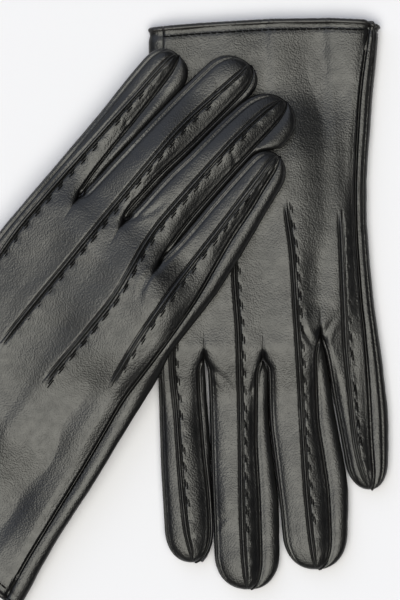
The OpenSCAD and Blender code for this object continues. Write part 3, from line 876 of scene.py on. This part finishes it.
def mesh_object(name, co, polygons, loop_normals=None):
    """A smooth-shaded object from points and faces, linked to the scene."""
    mesh = bpy.data.meshes.new(name)
    mesh.from_pydata(co.tolist(), [], polygons)
    mesh.polygons.foreach_set("use_smooth", np.ones(len(mesh.polygons), bool))
    if loop_normals is not None:
        mesh.normals_split_custom_set(loop_normals)
    obj = bpy.data.objects.new(name, mesh)
    bpy.context.scene.collection.objects.link(obj)
    return obj


def face_mask(skin, side, wanted, first, last):
    """Faces of the wanted (lane, group) pairs between two stations; None means a lane's cut."""
    mask = np.zeros(len(skin["faces"]), bool)
    for number, p in enumerate(skin["patches"]):
        if (p["lane"], p["group"]) not in wanted:
            continue
        low = CUT[side][p["lane"]] if first is None else first
        high = CUT[side][p["lane"]] if last is None else last
        station = skin["tags"][:, 1]
        mask |= (skin["tags"][:, 0] == number) & (station >= low) & (station < high)
    return mask


def cut_piece(name, skin, mask, inset, thickness):
    """A closed sheet: outer face, inner face and the cut edge between them."""
    faces = skin["faces"][mask]
    used, local = np.unique(faces, return_inverse=True)
    faces = local.reshape(faces.shape)
    outer_n = skin["normals"][used]
    if inset > 0:
        outer_co = skin["smooth"][used] - skin["smooth_normals"][used] * inset * MM
    else:
        outer_co = skin["co"][used]
    inner_n = -skin["smooth_normals"][used]
    inner_co = skin["smooth"][used] + inner_n * (inset + thickness) * MM
    count = len(used)
    corners = np.stack([faces, np.roll(faces, -1, axis=1)], axis=2).reshape(-1, 2)
    corners = corners[corners[:, 0] != corners[:, 1]]
    code = corners[:, 0].astype(np.int64) * count + corners[:, 1]
    reverse = corners[:, 1].astype(np.int64) * count + corners[:, 0]
    rim = corners[~np.isin(code, reverse)]
    co = np.concatenate([outer_co, inner_co])
    polygons, normals = [], []
    for quads, shift, vertex_normals in ((faces, 0, outer_n), (faces[:, ::-1], count, inner_n)):
        for quad in quads.tolist():
            corner = list(dict.fromkeys(quad))
            if len(corner) > 2:
                polygons.append([c + shift for c in corner])
                normals.append(vertex_normals[corner])
    walls = np.stack([rim[:, 1], rim[:, 0], rim[:, 0] + count, rim[:, 1] + count], axis=1)
    across = np.cross(co[walls[:, 2]] - co[walls[:, 0]], co[walls[:, 3]] - co[walls[:, 1]])
    across /= np.maximum(np.linalg.norm(across, axis=1, keepdims=True), 1e-20)
    polygons += walls.tolist()
    normals += [np.repeat(n[None, :], 4, axis=0) for n in across]
    return mesh_object(name, co, polygons, np.concatenate(normals))


def bend_finger(obj, side, finger):
    """Bakes a piece's placement into its mesh; the finger's hinge is looked up but not used."""
    middle, along = finger_hinge(side, finger)
    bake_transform(obj)


def fix_to(obj, body, slot, *nodes):
    """Fixes a piece to its body and hides the nodes it stands for; the slot is not used."""
    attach(obj, body)
    if nodes:
        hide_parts(*nodes)


# %% Leather of the hands: backs, palms and fork strips
def lanes_of(group):
    return [(i, group) for i in range(4)]


PALM_PARTS = lanes_of("palm") + [(0, "left"), (3, "right")]
PIECES = {}


def keep(obj, material_name):
    """Notes which material a piece gets once the materials are made."""
    PIECES[obj.name] = material_name
    return obj


for side in SIDES:
    skin = SKIN[side]
    back = cut_piece(f"{side}_back_leather", skin, face_mask(skin, side, lanes_of("back"), 0, None),
                     0, LEATHER)
    fix_to(keep(back, "leather"), f"{side}_hand", "leather", f"{side}_back_panel")
    palm = cut_piece(f"{side}_palm_leather", skin, face_mask(skin, side, PALM_PARTS, 0, None),
                     0, LEATHER)
    fix_to(keep(palm, "leather"), f"{side}_hand", "leather", f"{side}_palm_panel")
    for i in range(3):
        pair = f"{FINGERS[i]}_{FINGERS[i + 1]}"
        strip = cut_piece(f"{side}_{pair}_fork_strip", skin,
                          face_mask(skin, side, [(i, "right"), (i + 1, "left")], 1, None),
                          0, STRIP_LEATHER)
        fix_to(keep(strip, "side leather"), f"{side}_hand", "leather_side",
               f"{side}_{pair}_fourchette")
    print(side, "hand back has", len(back.data.polygons), "faces")


# %% Leather of the fingers
for side in SIDES:
    skin = SKIN[side]
    for i, finger in enumerate(FINGERS):
        back = cut_piece(f"{side}_{finger}_back_leather", skin,
                         face_mask(skin, side, [(i, "back")], None, PAST_TIP), 0, LEATHER)
        wrap = [(i, "palm")] + [(0, "left")] * (i == 0) + [(3, "right")] * (i == 3)
        palm = cut_piece(f"{side}_{finger}_palm_leather", skin,
                         face_mask(skin, side, wrap, None, PAST_TIP), 0, LEATHER)
        sides = [(i, "left")] * (i > 0) + [(i, "right")] * (i < 3)
        strip = cut_piece(f"{side}_{finger}_side_strips", skin,
                          face_mask(skin, side, sides, None, PAST_TIP), 0, STRIP_LEATHER)
        strips_node = f"{side}_{finger}_fourchette" + "s" * (len(sides) - 1)
        for obj, material_name, slot, node in (
                (back, "leather", "leather", f"{side}_{finger}_back"),
                (palm, "leather", "leather", f"{side}_{finger}_palm"),
                (strip, "side leather", "leather_side", strips_node)):
            bend_finger(keep(obj, material_name), side, finger)
            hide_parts(node)
print("finger pieces:", sum("_leather" in n or "_strips" in n for n in PIECES))

# %% [markdown]
# The gloves are lined with fine knitted fabric: a sleeve in the hand, sewn in at the cuff,
# and a bag in every finger.  Only its edge shows in the mouth of the cuff.

# %% Linings of the hands and fingers
HAND_KNIT, FINGER_KNIT = 0.8, 0.6          # thickness
HAND_KNIT_GAP, FINGER_KNIT_GAP = 0.15, 0.2   # distance from the leather

for side in SIDES:
    skin = COARSE[side]
    parts = {"back": lanes_of("back"),
             "palm": lanes_of("palm") + lanes_of("left") + lanes_of("right")}
    for face, wanted in parts.items():
        lining = cut_piece(f"{side}_{face}_knit_lining", skin, face_mask(skin, side, wanted, 0, None),
                           LEATHER + HAND_KNIT_GAP, HAND_KNIT)
        fix_to(keep(lining, "knit lining"), f"{side}_hand", "lining", f"{side}_{face}_lining")
    for i, finger in enumerate(FINGERS):
        groups = [(i, "back"), (i, "palm"), (i, "left"), (i, "right")]
        bag = cut_piece(f"{side}_{finger}_knit_bag", skin,
                        face_mask(skin, side, groups, None, PAST_TIP),
                        LEATHER + FINGER_KNIT_GAP, FINGER_KNIT)
        bend_finger(keep(bag, "knit lining"), side, finger)
        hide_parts(f"{side}_{finger}_lining")
print("linings:", sum("knit" in n for n in PIECES))

# %% [markdown]
# The cuff ends in a rolled edge: a strip of the same leather folded over the raw edges of
# leather and lining and stitched through.  Here it is swept around the mouth.

# %% Rolled edge of the cuff
ROLL_CENTRE = (-0.95, 0.62)   # across the leather and beyond its edge, in mm
ROLL_SIZE = (1.5, 1.3)
ROLL_STEPS = 16
ROLL_PINCH = 0.07             # share by which each machine stitch draws the roll in


def mouth_path(side):
    """Points and outward normals around the mouth of the cuff."""
    skin = SKIN[side]
    start, rows = 0, {}
    for p in skin["patches"]:
        count, columns = p["co"].shape[:2]
        rows[p["lane"], p["group"]] = skin["index"][start:start + columns]
        start += count * columns
    path = [rows[i, "back"] for i in range(4)] + [rows[3, "right"]]
    path += [rows[i, "palm"][::-1] for i in range(3, -1, -1)] + [rows[0, "left"][::-1]]
    path = np.concatenate(path)
    path = path[np.append(True, np.diff(path) != 0)]
    if path[0] == path[-1]:
        path = path[:-1]
    return skin["smooth"][path], skin["smooth_normals"][path]


def toward_cuff(side):
    """Direction on the table from the fingers toward the cuff."""
    start, end = np.array(on_table(side, 0.0, 1.0)), np.array(on_table(side, 0.0, 0.0))
    return np.append(end - start, 0.0)


def cuff_roll(side):
    """The rolled edge swept around the mouth, drawn in a little at each stitch."""
    points, normals = mouth_path(side)
    outward = toward_cuff(side)
    normals = normals - np.outer(normals @ outward, outward)
    normals /= np.linalg.norm(normals, axis=1, keepdims=True)
    length = np.cumsum(np.linalg.norm(np.diff(points, axis=0, append=points[:1]), axis=1)) / MM
    pinch = 1 - ROLL_PINCH * np.abs(np.cos(math.pi * length / CUFF_STITCH_PITCH)) ** 6
    angle = np.arange(ROLL_STEPS) / ROLL_STEPS * 2 * math.pi
    a = ROLL_CENTRE[0] + ROLL_SIZE[0] * np.cos(angle)[None, :] * pinch[:, None]
    b = ROLL_CENTRE[1] + ROLL_SIZE[1] * np.sin(angle)[None, :] * pinch[:, None]
    co = points[:, None, :] + (normals[:, None, :] * a[..., None] + outward * b[..., None]) * MM
    co[..., 2] = np.maximum(co[..., 2], TABLE_GAP)
    n = len(points)
    k = np.arange(n * ROLL_STEPS).reshape(n, ROLL_STEPS)
    after = np.roll(k, -1, axis=0)
    quads = np.stack([k, np.roll(k, -1, axis=1), np.roll(after, -1, axis=1), after], axis=-1)
    quads = quads.reshape(-1, 4)
    if side == "right":
        quads = quads[:, ::-1]
    return mesh_object(f"{side}_cuff_roll", co.reshape(-1, 3), quads.tolist())


for side in SIDES:
    roll = keep(cuff_roll(side), "rolled edge")
    fix_to(roll, f"{side}_hand", "binding", f"{side}_cuff_binding")
    print(roll.name, "has", len(roll.data.polygons), "faces")


# %% [markdown]
# The thumb is folded flat under the palm.  It has an outer and an inner half, sewn together
# along both sides, and its root turns up into the palm.

# %% Thumbs
THUMB_ROOT = np.array([-26.0, 70.0])
THUMB_TURN = math.radians(-28)
THUMB_LENGTH, THUMB_HALF_WIDTH, THUMB_HALF = 66.0, 12.8, 2.25
THUMB_CAP, ROOT_TURN_UP = 14.0, 9.0   # length of the rounded tip and of the turned-up root
THUMB_TAPER = 1.8                     # the thumb is this much narrower, each side, at its tip
ROOT_RISE = 2.6                       # how far the turned-up root rises
THUMB_LEATHER, THUMB_KNIT = 0.7, 0.4


def thumb_skin(side):
    """Both halves of a folded thumb, from its turned-up root to its tip."""
    rows = np.concatenate([np.linspace(-ROOT_TURN_UP, 0, 12)[:-1],
                           THUMB_LENGTH * (1 - (1 - np.linspace(0, 1, 90)) ** 1.3)])[:, None]
    x = np.sin(np.linspace(-math.pi / 2, math.pi / 2, 45))[None, :]
    cap = np.clip((rows - (THUMB_LENGTH - THUMB_CAP)) / THUMB_CAP, 0, 1)
    width = THUMB_HALF_WIDTH - THUMB_TAPER * ramp(rows, 0, THUMB_LENGTH)
    width = width * (1 - cap ** TIP_POWER) ** (1 / TIP_POWER)
    back = ramp(-rows, 0, ROOT_TURN_UP)
    width = width * (1 - 0.35 * back)
    thick = THUMB_HALF * (1 - cap ** 2.6) ** 0.6 * (1 - 0.75 * back)
    patches = []
    for face in (1, -1):
        a = x * width
        rounding = np.sqrt(np.clip(1 - np.abs(x) ** 3.0, 0, 1))
        z = face * thick * rounding
        seam = THUMB_HALF_WIDTH * (1 - np.abs(x))
        flat = np.stack([a + 0 * rows, rows + 0 * a, 0 * a + 0 * rows], axis=-1)
        fold = 0.22 * waves(flat, 14, 11)
        z = z + face * (0.25 * bump(seam, 0.8, 0.5) * np.minimum(1, thick)
                        + fold * np.clip(seam / 3, 0, 1) * (1 - back) * (1 - cap))
        c, s = math.cos(THUMB_TURN), math.sin(THUMB_TURN)
        u = THUMB_ROOT[0] + c * a - s * rows
        v = THUMB_ROOT[1] + s * a + c * rows
        px, py = on_table(side, u, v)
        height = np.maximum(THUMB_HALF + 0.1 + ROOT_RISE * back + z, TABLE_GAP / MM)
        co = np.stack([px + 0 * height, py + 0 * height, height], axis=-1) * MM
        patches.append({"s": rows[:, 0], "co": co, "flip": (face > 0) == (side == "left")})
    return smooth_skin(patches)


for side in SIDES:
    skin = thumb_skin(side)
    for number, name in enumerate(("inner", "outer")):
        half = cut_piece(f"{side}_thumb_{name}_leather", skin, skin["tags"][:, 0] == number,
                         0, THUMB_LEATHER)
        fix_to(keep(half, "leather"), f"{side}_thumb", "leather", f"{side}_thumb_{name}")
    within = (skin["tags"][:, 1] > 4) & (skin["tags"][:, 1] < THUMB_LENGTH - 4)
    bag = cut_piece(f"{side}_thumb_knit_bag", skin, within, THUMB_LEATHER + 0.1, THUMB_KNIT)
    fix_to(keep(bag, "knit lining"), f"{side}_thumb", "lining", f"{side}_thumb_lining")
print("pieces so far:", len(PIECES))

# %% [markdown]
# The point lines are sewn with a long stitch in doubled thread that sinks into the leather.
# One Geometry Nodes tree makes a stitch and sets it at every place of a row; the machine
# stitches beside the rolled edge use the same tree with a shorter, single thread.

# %% Tree that sets a stitch at every point of a row
def add_node(tree, kind, links=(), **settings):
    """Adds a node; settings name its properties or inputs, links are (input, output socket)."""
    node = tree.nodes.new(kind)
    for name, value in settings.items():
        if hasattr(node, name) and name not in node.inputs:
            setattr(node, name, value)
        else:
            node.inputs[name.replace("_", " ")].default_value = value
    for target, source in links:
        tree.links.new(source, node.inputs[target])
    return node


def stitch_tree(material):
    """A stitch of two bowed threads, set at every point and turned by its along and up."""
    tree = bpy.data.node_groups.new("sewn stitches", "GeometryNodeTree")
    faces = tree.interface
    faces.new_socket("Geometry", in_out="INPUT", socket_type="NodeSocketGeometry")
    for name, value in (("Stitch length", 4.3), ("Thread radius", 0.32), ("Thread gap", 0.5),
                        ("Thread slip", 0.5)):
        made = faces.new_socket(name, in_out="INPUT", socket_type="NodeSocketFloat")
        made.default_value = value * MM
    faces.new_socket("Geometry", in_out="OUTPUT", socket_type="NodeSocketGeometry")
    given = add_node(tree, "NodeGroupInput")

    def times(output, factor):
        node = add_node(tree, "ShaderNodeMath", [(0, output)], operation="MULTIPLY")
        node.inputs[1].default_value = factor
        return node.outputs[0]

    def vector(x=None, y=None, z=None):
        links = [(k, o) for k, o in (("X", x), ("Y", y), ("Z", z)) if o is not None]
        return add_node(tree, "ShaderNodeCombineXYZ", links).outputs[0]

    length, radius = given.outputs["Stitch length"], given.outputs["Thread radius"]
    start = vector(times(length, -0.5), None, times(radius, -1.6))
    middle = vector(None, None, times(radius, 1.9))
    end = vector(times(length, 0.5), None, times(radius, -1.6))
    path = add_node(tree, "GeometryNodeCurveQuadraticBezier",
                    [("Start", start), ("Middle", middle), ("End", end)], Resolution=9)
    profile = add_node(tree, "GeometryNodeCurvePrimitiveCircle", [("Radius", radius)], Resolution=8)
    thread = add_node(tree, "GeometryNodeCurveToMesh",
                      [("Curve", path.outputs[0]), ("Profile Curve", profile.outputs[0])])
    thread.inputs["Fill Caps"].default_value = True
    gap, slip = given.outputs["Thread gap"], given.outputs["Thread slip"]
    pair = add_node(tree, "GeometryNodeJoinGeometry")
    for sign in (-0.5, 0.5):
        moved = add_node(tree, "GeometryNodeTransform", [
            ("Geometry", thread.outputs[0]),
            ("Translation", vector(times(slip, sign), times(gap, sign)))])
        tree.links.new(moved.outputs[0], pair.inputs[0])
    along = add_node(tree, "GeometryNodeInputNamedAttribute", data_type="FLOAT_VECTOR", Name="along")
    up = add_node(tree, "GeometryNodeInputNamedAttribute", data_type="FLOAT_VECTOR", Name="up")
    turned = add_node(tree, "FunctionNodeAlignRotationToVector",
                      [("Vector", along.outputs[0])], axis="X")
    lifted = add_node(tree, "FunctionNodeAlignRotationToVector",
                      [("Rotation", turned.outputs[0]), ("Vector", up.outputs[0])],
                      axis="Z", pivot_axis="X")
    row = add_node(tree, "GeometryNodeInstanceOnPoints", [
        ("Points", given.outputs["Geometry"]), ("Instance", pair.outputs[0]),
        ("Rotation", lifted.outputs[0])])
    real = add_node(tree, "GeometryNodeRealizeInstances", [("Geometry", row.outputs[0])])
    dressed = add_node(tree, "GeometryNodeSetMaterial", [("Geometry", real.outputs[0])])
    dressed.inputs["Material"].default_value = material
    add_node(tree, "NodeGroupOutput", [("Geometry", dressed.outputs[0])])
    return tree


def sewn_row(name, tree, places, **sizes):
    """A plain mesh of stitches at (point, along, up) places."""
    points = bpy.data.meshes.new(name + "_points")
    points.from_pydata([p[0] for p in places], [], [])
    for k, label in ((1, "along"), (2, "up")):
        attribute = points.attributes.new(label, "FLOAT_VECTOR", "POINT")
        attribute.data.foreach_set("vector", np.concatenate([p[k] for p in places]))
    carrier = bpy.data.objects.new(name + "_points", points)
    bpy.context.scene.collection.objects.link(carrier)
    modifier = carrier.modifiers.new("stitches", "NODES")
    modifier.node_group = tree
    for socket in tree.interface.items_tree:
        label = socket.name.lower().replace(" ", "_")
        if socket.in_out == "INPUT" and label in sizes:
            modifier[socket.identifier] = sizes[label] * MM
    depsgraph = bpy.context.evaluated_depsgraph_get()
    mesh = bpy.data.meshes.new_from_object(carrier.evaluated_get(depsgraph))
    carrier.modifiers.remove(modifier)
    bpy.data.objects.remove(carrier)
    mesh.polygons.foreach_set("use_smooth", np.ones(len(mesh.polygons), bool))
    obj = bpy.data.objects.new(name, mesh)
    bpy.context.scene.collection.objects.link(obj)
    return obj


# %% Places on the back of a glove
def smooth_back(side, i, v, u):
    """The point of the back at a plan place, without relief."""
    v, u = np.array(v), np.array(u)
    return settle(side, i, v, u, back_height(side, i, v, u))


def unit(vector):
    return vector / np.linalg.norm(vector)


def back_place(side, i, v, u, raised=0.0):
    """A point on the back with its swell, a direction along v and the normal, as arrays."""
    here = smooth_back(side, i, v, u)
    along = unit(smooth_back(side, i, v + 0.5, u) - here)
    across = smooth_back(side, i, v, u + 0.5) - here
    up = unit(np.cross(across, along))
    up = up if up[2] > 0 else -up
    return here + up * (swells(here / MM) + raised) * MM, along, up


def point_places(side, i, first, last):
    """Stitches of a point line between two distances from the cuff."""
    plan = PLAN[side][i]
    line = plan["point"]
    count = int((plan["tip"][0] - STITCHES_END - plan["start"]) / STITCH_PITCH)
    places = []
    for k in range(count):
        v = plan["start"] + STITCH_PITCH * k
        if not (first <= v - HALF_STITCH and v + HALF_STITCH < last):
            continue
        u = float(line(v)) + STITCH_OFF
        slope = float(line(v + 1) - line(v - 1)) / 2
        here, _, up = back_place(side, i, v, u)
        beyond, _, _ = back_place(side, i, v + 1, u + slope)
        places.append((here, unit(beyond - here), up))
    return places


print("a stitch of the left middle finger lies at",
      (back_place("left", 1, 180.0, -8.0)[0] / MM).round(1), "mm")


# %% [markdown]
# Materials.  The leather is black aniline goatskin: dyed through, softly glossy, with a
# fine pebbled grain.  Light catches its tops warm, and its flanks mirror the cool window.

# %% Colours and materials
def colour(code):
    """An sRGB hex colour as linear red, green, blue and alpha."""
    parts = [int(code[k:k + 2], 16) / 255 for k in (1, 3, 5)]
    return tuple(p / 12.92 if p <= 0.04045 else ((p + 0.055) / 1.055) ** 2.4 for p in parts) + (1.0,)


GRAIN = 0.7 * MM       # width of a grain cell of the leather
FINE_GRAIN = 0.35 * MM
LOOP_PITCH, PLY_PITCH = 0.8 * MM, 0.5 * MM   # rows of knitted loops, twist of the thread


def new_material(name):
    """An empty material, its tree, its shader and the object's own coordinates."""
    material = bpy.data.materials.new(name)
    material.use_nodes = True
    tree = material.node_tree
    tree.nodes.clear()
    shader = add_node(tree, "ShaderNodeBsdfPrincipled")
    add_node(tree, "ShaderNodeOutputMaterial", [("Surface", shader.outputs[0])])
    where = add_node(tree, "ShaderNodeTexCoord")
    return material, tree, shader, where.outputs["Object"]


def leather_material(name, dark, light, roughness, grain_depth):
    """Dyed leather with uneven gloss and a pebbled grain of the given depth."""
    material, tree, shader, where = new_material(name)
    # dye takes a little unevenly over a few millimetres
    dye = add_node(tree, "ShaderNodeTexNoise", [("Vector", where)], Scale=1 / (9 * MM), Detail=4.0)
    tone = add_node(tree, "ShaderNodeMix", [("Factor", dye.outputs[0])], data_type="RGBA")
    tone.inputs[6].default_value = colour(dark)
    tone.inputs[7].default_value = colour(light)
    tree.links.new(tone.outputs[2], shader.inputs["Base Color"])
    # tops of the grain are polished by handling
    wear = add_node(tree, "ShaderNodeTexNoise", [("Vector", where)], Scale=1 / (4 * MM), Detail=3.0)
    gloss = add_node(tree, "ShaderNodeMapRange", [("Value", wear.outputs[0])])
    gloss.inputs["From Min"].default_value = 0.3
    gloss.inputs["From Max"].default_value = 0.7
    gloss.inputs["To Min"].default_value = roughness - 0.05
    gloss.inputs["To Max"].default_value = roughness + 0.06
    tree.links.new(gloss.outputs[0], shader.inputs["Roughness"])
    # pebbled grain, with a finer one inside it
    bent = add_node(tree, "ShaderNodeTexNoise", [("Vector", where)], Scale=0.6 / GRAIN, Detail=2.0)
    push = add_node(tree, "ShaderNodeVectorMath", [(0, bent.outputs["Color"])], operation="SCALE")
    push.inputs["Scale"].default_value = GRAIN * 0.35
    moved = add_node(tree, "ShaderNodeVectorMath", [(0, where), (1, push.outputs[0])], operation="ADD")
    cells = add_node(tree, "ShaderNodeTexVoronoi", [("Vector", moved.outputs[0])],
                     feature="SMOOTH_F1", Scale=1 / GRAIN, Smoothness=0.6)
    fine = add_node(tree, "ShaderNodeTexNoise", [("Vector", where)], Scale=1 / FINE_GRAIN, Detail=2.0)
    coarse_bump = add_node(tree, "ShaderNodeBump", [("Height", cells.outputs["Distance"])],
                           Strength=0.65, Distance=grain_depth, invert=True)
    fine_bump = add_node(tree, "ShaderNodeBump",
                         [("Height", fine.outputs[0]), ("Normal", coarse_bump.outputs[0])],
                         Strength=0.4, Distance=0.05 * MM)
    tree.links.new(fine_bump.outputs[0], shader.inputs["Normal"])
    shader.inputs["IOR"].default_value = 1.47
    shader.inputs["Specular Tint"].default_value = colour("#fffff8")
    return material


def knit_material(name):
    """Fine knitted cotton jersey: matt, with rows of loops."""
    material, tree, shader, where = new_material(name)
    loops = add_node(tree, "ShaderNodeTexWave", [("Vector", where)], bands_direction="DIAGONAL",
                     Scale=1 / LOOP_PITCH / 3.14, Distortion=1.5)
    tone = add_node(tree, "ShaderNodeMix", [("Factor", loops.outputs[1])], data_type="RGBA")
    tone.inputs[6].default_value = colour("#1c1c1f")
    tone.inputs[7].default_value = colour("#34343a")
    tree.links.new(tone.outputs[2], shader.inputs["Base Color"])
    raised = add_node(tree, "ShaderNodeBump", [("Height", loops.outputs[1])], Strength=0.7,
                      Distance=0.2 * MM)
    tree.links.new(raised.outputs[0], shader.inputs["Normal"])
    shader.inputs["Roughness"].default_value = 0.92
    shader.inputs["Sheen Weight"].default_value = 0.2
    return material


def thread_material(name):
    """Waxed linen thread, twisted: dark and nearly matt, with a fine ply."""
    material, tree, shader, where = new_material(name)
    ply = add_node(tree, "ShaderNodeTexWave", [("Vector", where)], bands_direction="DIAGONAL",
                   Scale=1 / PLY_PITCH / 3.14)
    tone = add_node(tree, "ShaderNodeMix", [("Factor", ply.outputs[1])], data_type="RGBA")
    tone.inputs[6].default_value = colour("#040404")
    tone.inputs[7].default_value = colour("#0c0c0b")
    tree.links.new(tone.outputs[2], shader.inputs["Base Color"])
    raised = add_node(tree, "ShaderNodeBump", [("Height", ply.outputs[1])], Strength=0.5,
                      Distance=0.1 * MM)
    tree.links.new(raised.outputs[0], shader.inputs["Normal"])
    shader.inputs["Roughness"].default_value = 0.85
    shader.inputs["Specular IOR Level"].default_value = 0.1
    return material


MATERIALS = {
    "leather": leather_material("black aniline goatskin", "#050505", "#0c0c0c", 0.33, 0.15 * MM),
    "side leather": leather_material("black goatskin side strips", "#050505", "#0c0c0c", 0.33,
                                     0.13 * MM),
    "rolled edge": leather_material("rolled goatskin edge", "#0d0c0c", "#181615", 0.38, 0.08 * MM),
    "knit lining": knit_material("grey knitted cotton lining"),
    "thread": thread_material("black waxed linen thread"),
}
for name, material_name in PIECES.items():
    bpy.data.objects[name].data.materials.append(MATERIALS[material_name])
print("materials:", list(MATERIALS))

# %% Stitches of the point lines and of the cuffs
STITCHES = stitch_tree(MATERIALS["thread"])
POINT_STITCH = dict(stitch_length=4.3, thread_radius=0.31, thread_gap=0.8, thread_slip=1.5)
CUFF_STITCH = dict(stitch_length=2.2, thread_radius=0.3, thread_gap=0.05, thread_slip=0.1)


def cut_v(side, i):
    """Distance from the cuff at which a finger is cut from the hand."""
    fork = (FORKS[side][i][0] + FORKS[side][i + 1][0]) / 2
    return fork + (PLAN[side][i]["tip"][0] - fork) * (CUT[side][i] - 1)


def cuff_stitch_places(side):
    """Machine stitches across the back, beside the rolled edge."""
    places = []
    for i in range(4):
        line = lane_lines(side, i, CUFF_STITCH_V)
        low = float(line["left"]) + (0.4 if i else 1.5)
        high = float(line["right"]) - (0.0 if i < 3 else 1.5)
        for u in np.arange(low, high, CUFF_STITCH_PITCH):
            here, along, up = back_place(side, i, CUFF_STITCH_V, float(u), 0.1)
            places.append((here, unit(np.cross(up, along)), up))
    return places


for side in SIDES:
    hand_places = []
    for i, finger in enumerate(FINGERS):
        cut = cut_v(side, i)
        hand_places += point_places(side, i, 0, cut)
        row = sewn_row(f"{side}_{finger}_point_stitches", STITCHES,
                       point_places(side, i, cut, math.inf), **POINT_STITCH)
        bend_finger(row, side, finger)
    row = sewn_row(f"{side}_hand_point_stitches", STITCHES, hand_places, **POINT_STITCH)
    fix_to(row, f"{side}_hand", "thread", f"{side}_stitching")
    cuff = sewn_row(f"{side}_cuff_stitches", STITCHES, cuff_stitch_places(side), **CUFF_STITCH)
    fix_to(cuff, f"{side}_hand", "thread", f"{side}_stitching")
    print(side, "hand stitches:", len(hand_places), "faces", len(row.data.polygons))


# %% [markdown]
# A pale studio table in a dim room, a large warm softbox nearly overhead and a cooler window
# to one side, which lights the flanks of the fingers that face away from the softbox.

# %% Table, light and camera
FLOOR_HALF = 1.6
VIEW_CENTRE = (37.63 * MM, 7.63 * MM)
CAMERA_HEIGHT = 2.5
SHEET_WIDTH = 176 * MM   # width that the camera takes in at the height of a glove's back
GLOVE_HEIGHT = 2 * HALF * MM

corners = FLOOR_HALF * np.array([(-1, -1, 0), (1, -1, 0), (1, 1, 0), (-1, 1, 0)])
floor = mesh_object("table_top", corners, [[0, 1, 2, 3]])
paper, _, paper_shader, _ = new_material("matt white paper")
paper_shader.inputs["Base Color"].default_value = colour("#d2d2d2")
paper_shader.inputs["Roughness"].default_value = 0.9
paper_shader.inputs["Specular IOR Level"].default_value = 0.1
floor.data.materials.append(paper)

# direction, full within, faded out beyond (degrees), light, colour
LAMPS = {
    "softbox": ((-0.06, -0.24, 1.0), 13.0, 34.0, 6.4, "#fffdf8"),
    "window": ((-0.55, 0.65, 0.75), 12.0, 48.0, 1.3, "#dde6ff"),
}
ROOM_LIGHT = 0.09

world = bpy.data.worlds.new("softbox and window in a dark studio")
bpy.context.scene.world = world
world.use_nodes = True
sky = world.node_tree
sky.nodes.clear()
ray = add_node(sky, "ShaderNodeTexCoord")
room = add_node(sky, "ShaderNodeBackground", Color=colour("#e9edff"), Strength=ROOM_LIGHT)
lit = room.outputs[0]
for toward, core, edge, light, code in LAMPS.values():
    facing = add_node(sky, "ShaderNodeVectorMath", [(0, ray.outputs["Generated"])],
                      operation="DOT_PRODUCT")
    facing.inputs[1].default_value = Vector(toward).normalized()
    glow = add_node(sky, "ShaderNodeMapRange", [("Value", facing.outputs["Value"])],
                    interpolation_type="SMOOTHSTEP")
    glow.inputs["From Min"].default_value = math.cos(math.radians(edge))
    glow.inputs["From Max"].default_value = math.cos(math.radians(core))
    glow.inputs["To Max"].default_value = light
    panel = add_node(sky, "ShaderNodeBackground", [("Strength", glow.outputs[0])],
                     Color=colour(code))
    lit = add_node(sky, "ShaderNodeAddShader", [(0, lit), (1, panel.outputs[0])]).outputs[0]
add_node(sky, "ShaderNodeOutputWorld", [("Surface", lit)])

lens = bpy.data.cameras.new("camera")
lens.sensor_fit = "HORIZONTAL"
lens.sensor_width = 36
lens.lens = lens.sensor_width * (CAMERA_HEIGHT - GLOVE_HEIGHT) / SHEET_WIDTH
lens.clip_end = 10
camera = bpy.data.objects.new("camera", lens)
bpy.context.scene.collection.objects.link(camera)
camera.location = (*VIEW_CENTRE, CAMERA_HEIGHT)
bpy.context.scene.camera = camera
bpy.context.scene.view_settings.view_transform = "Standard"
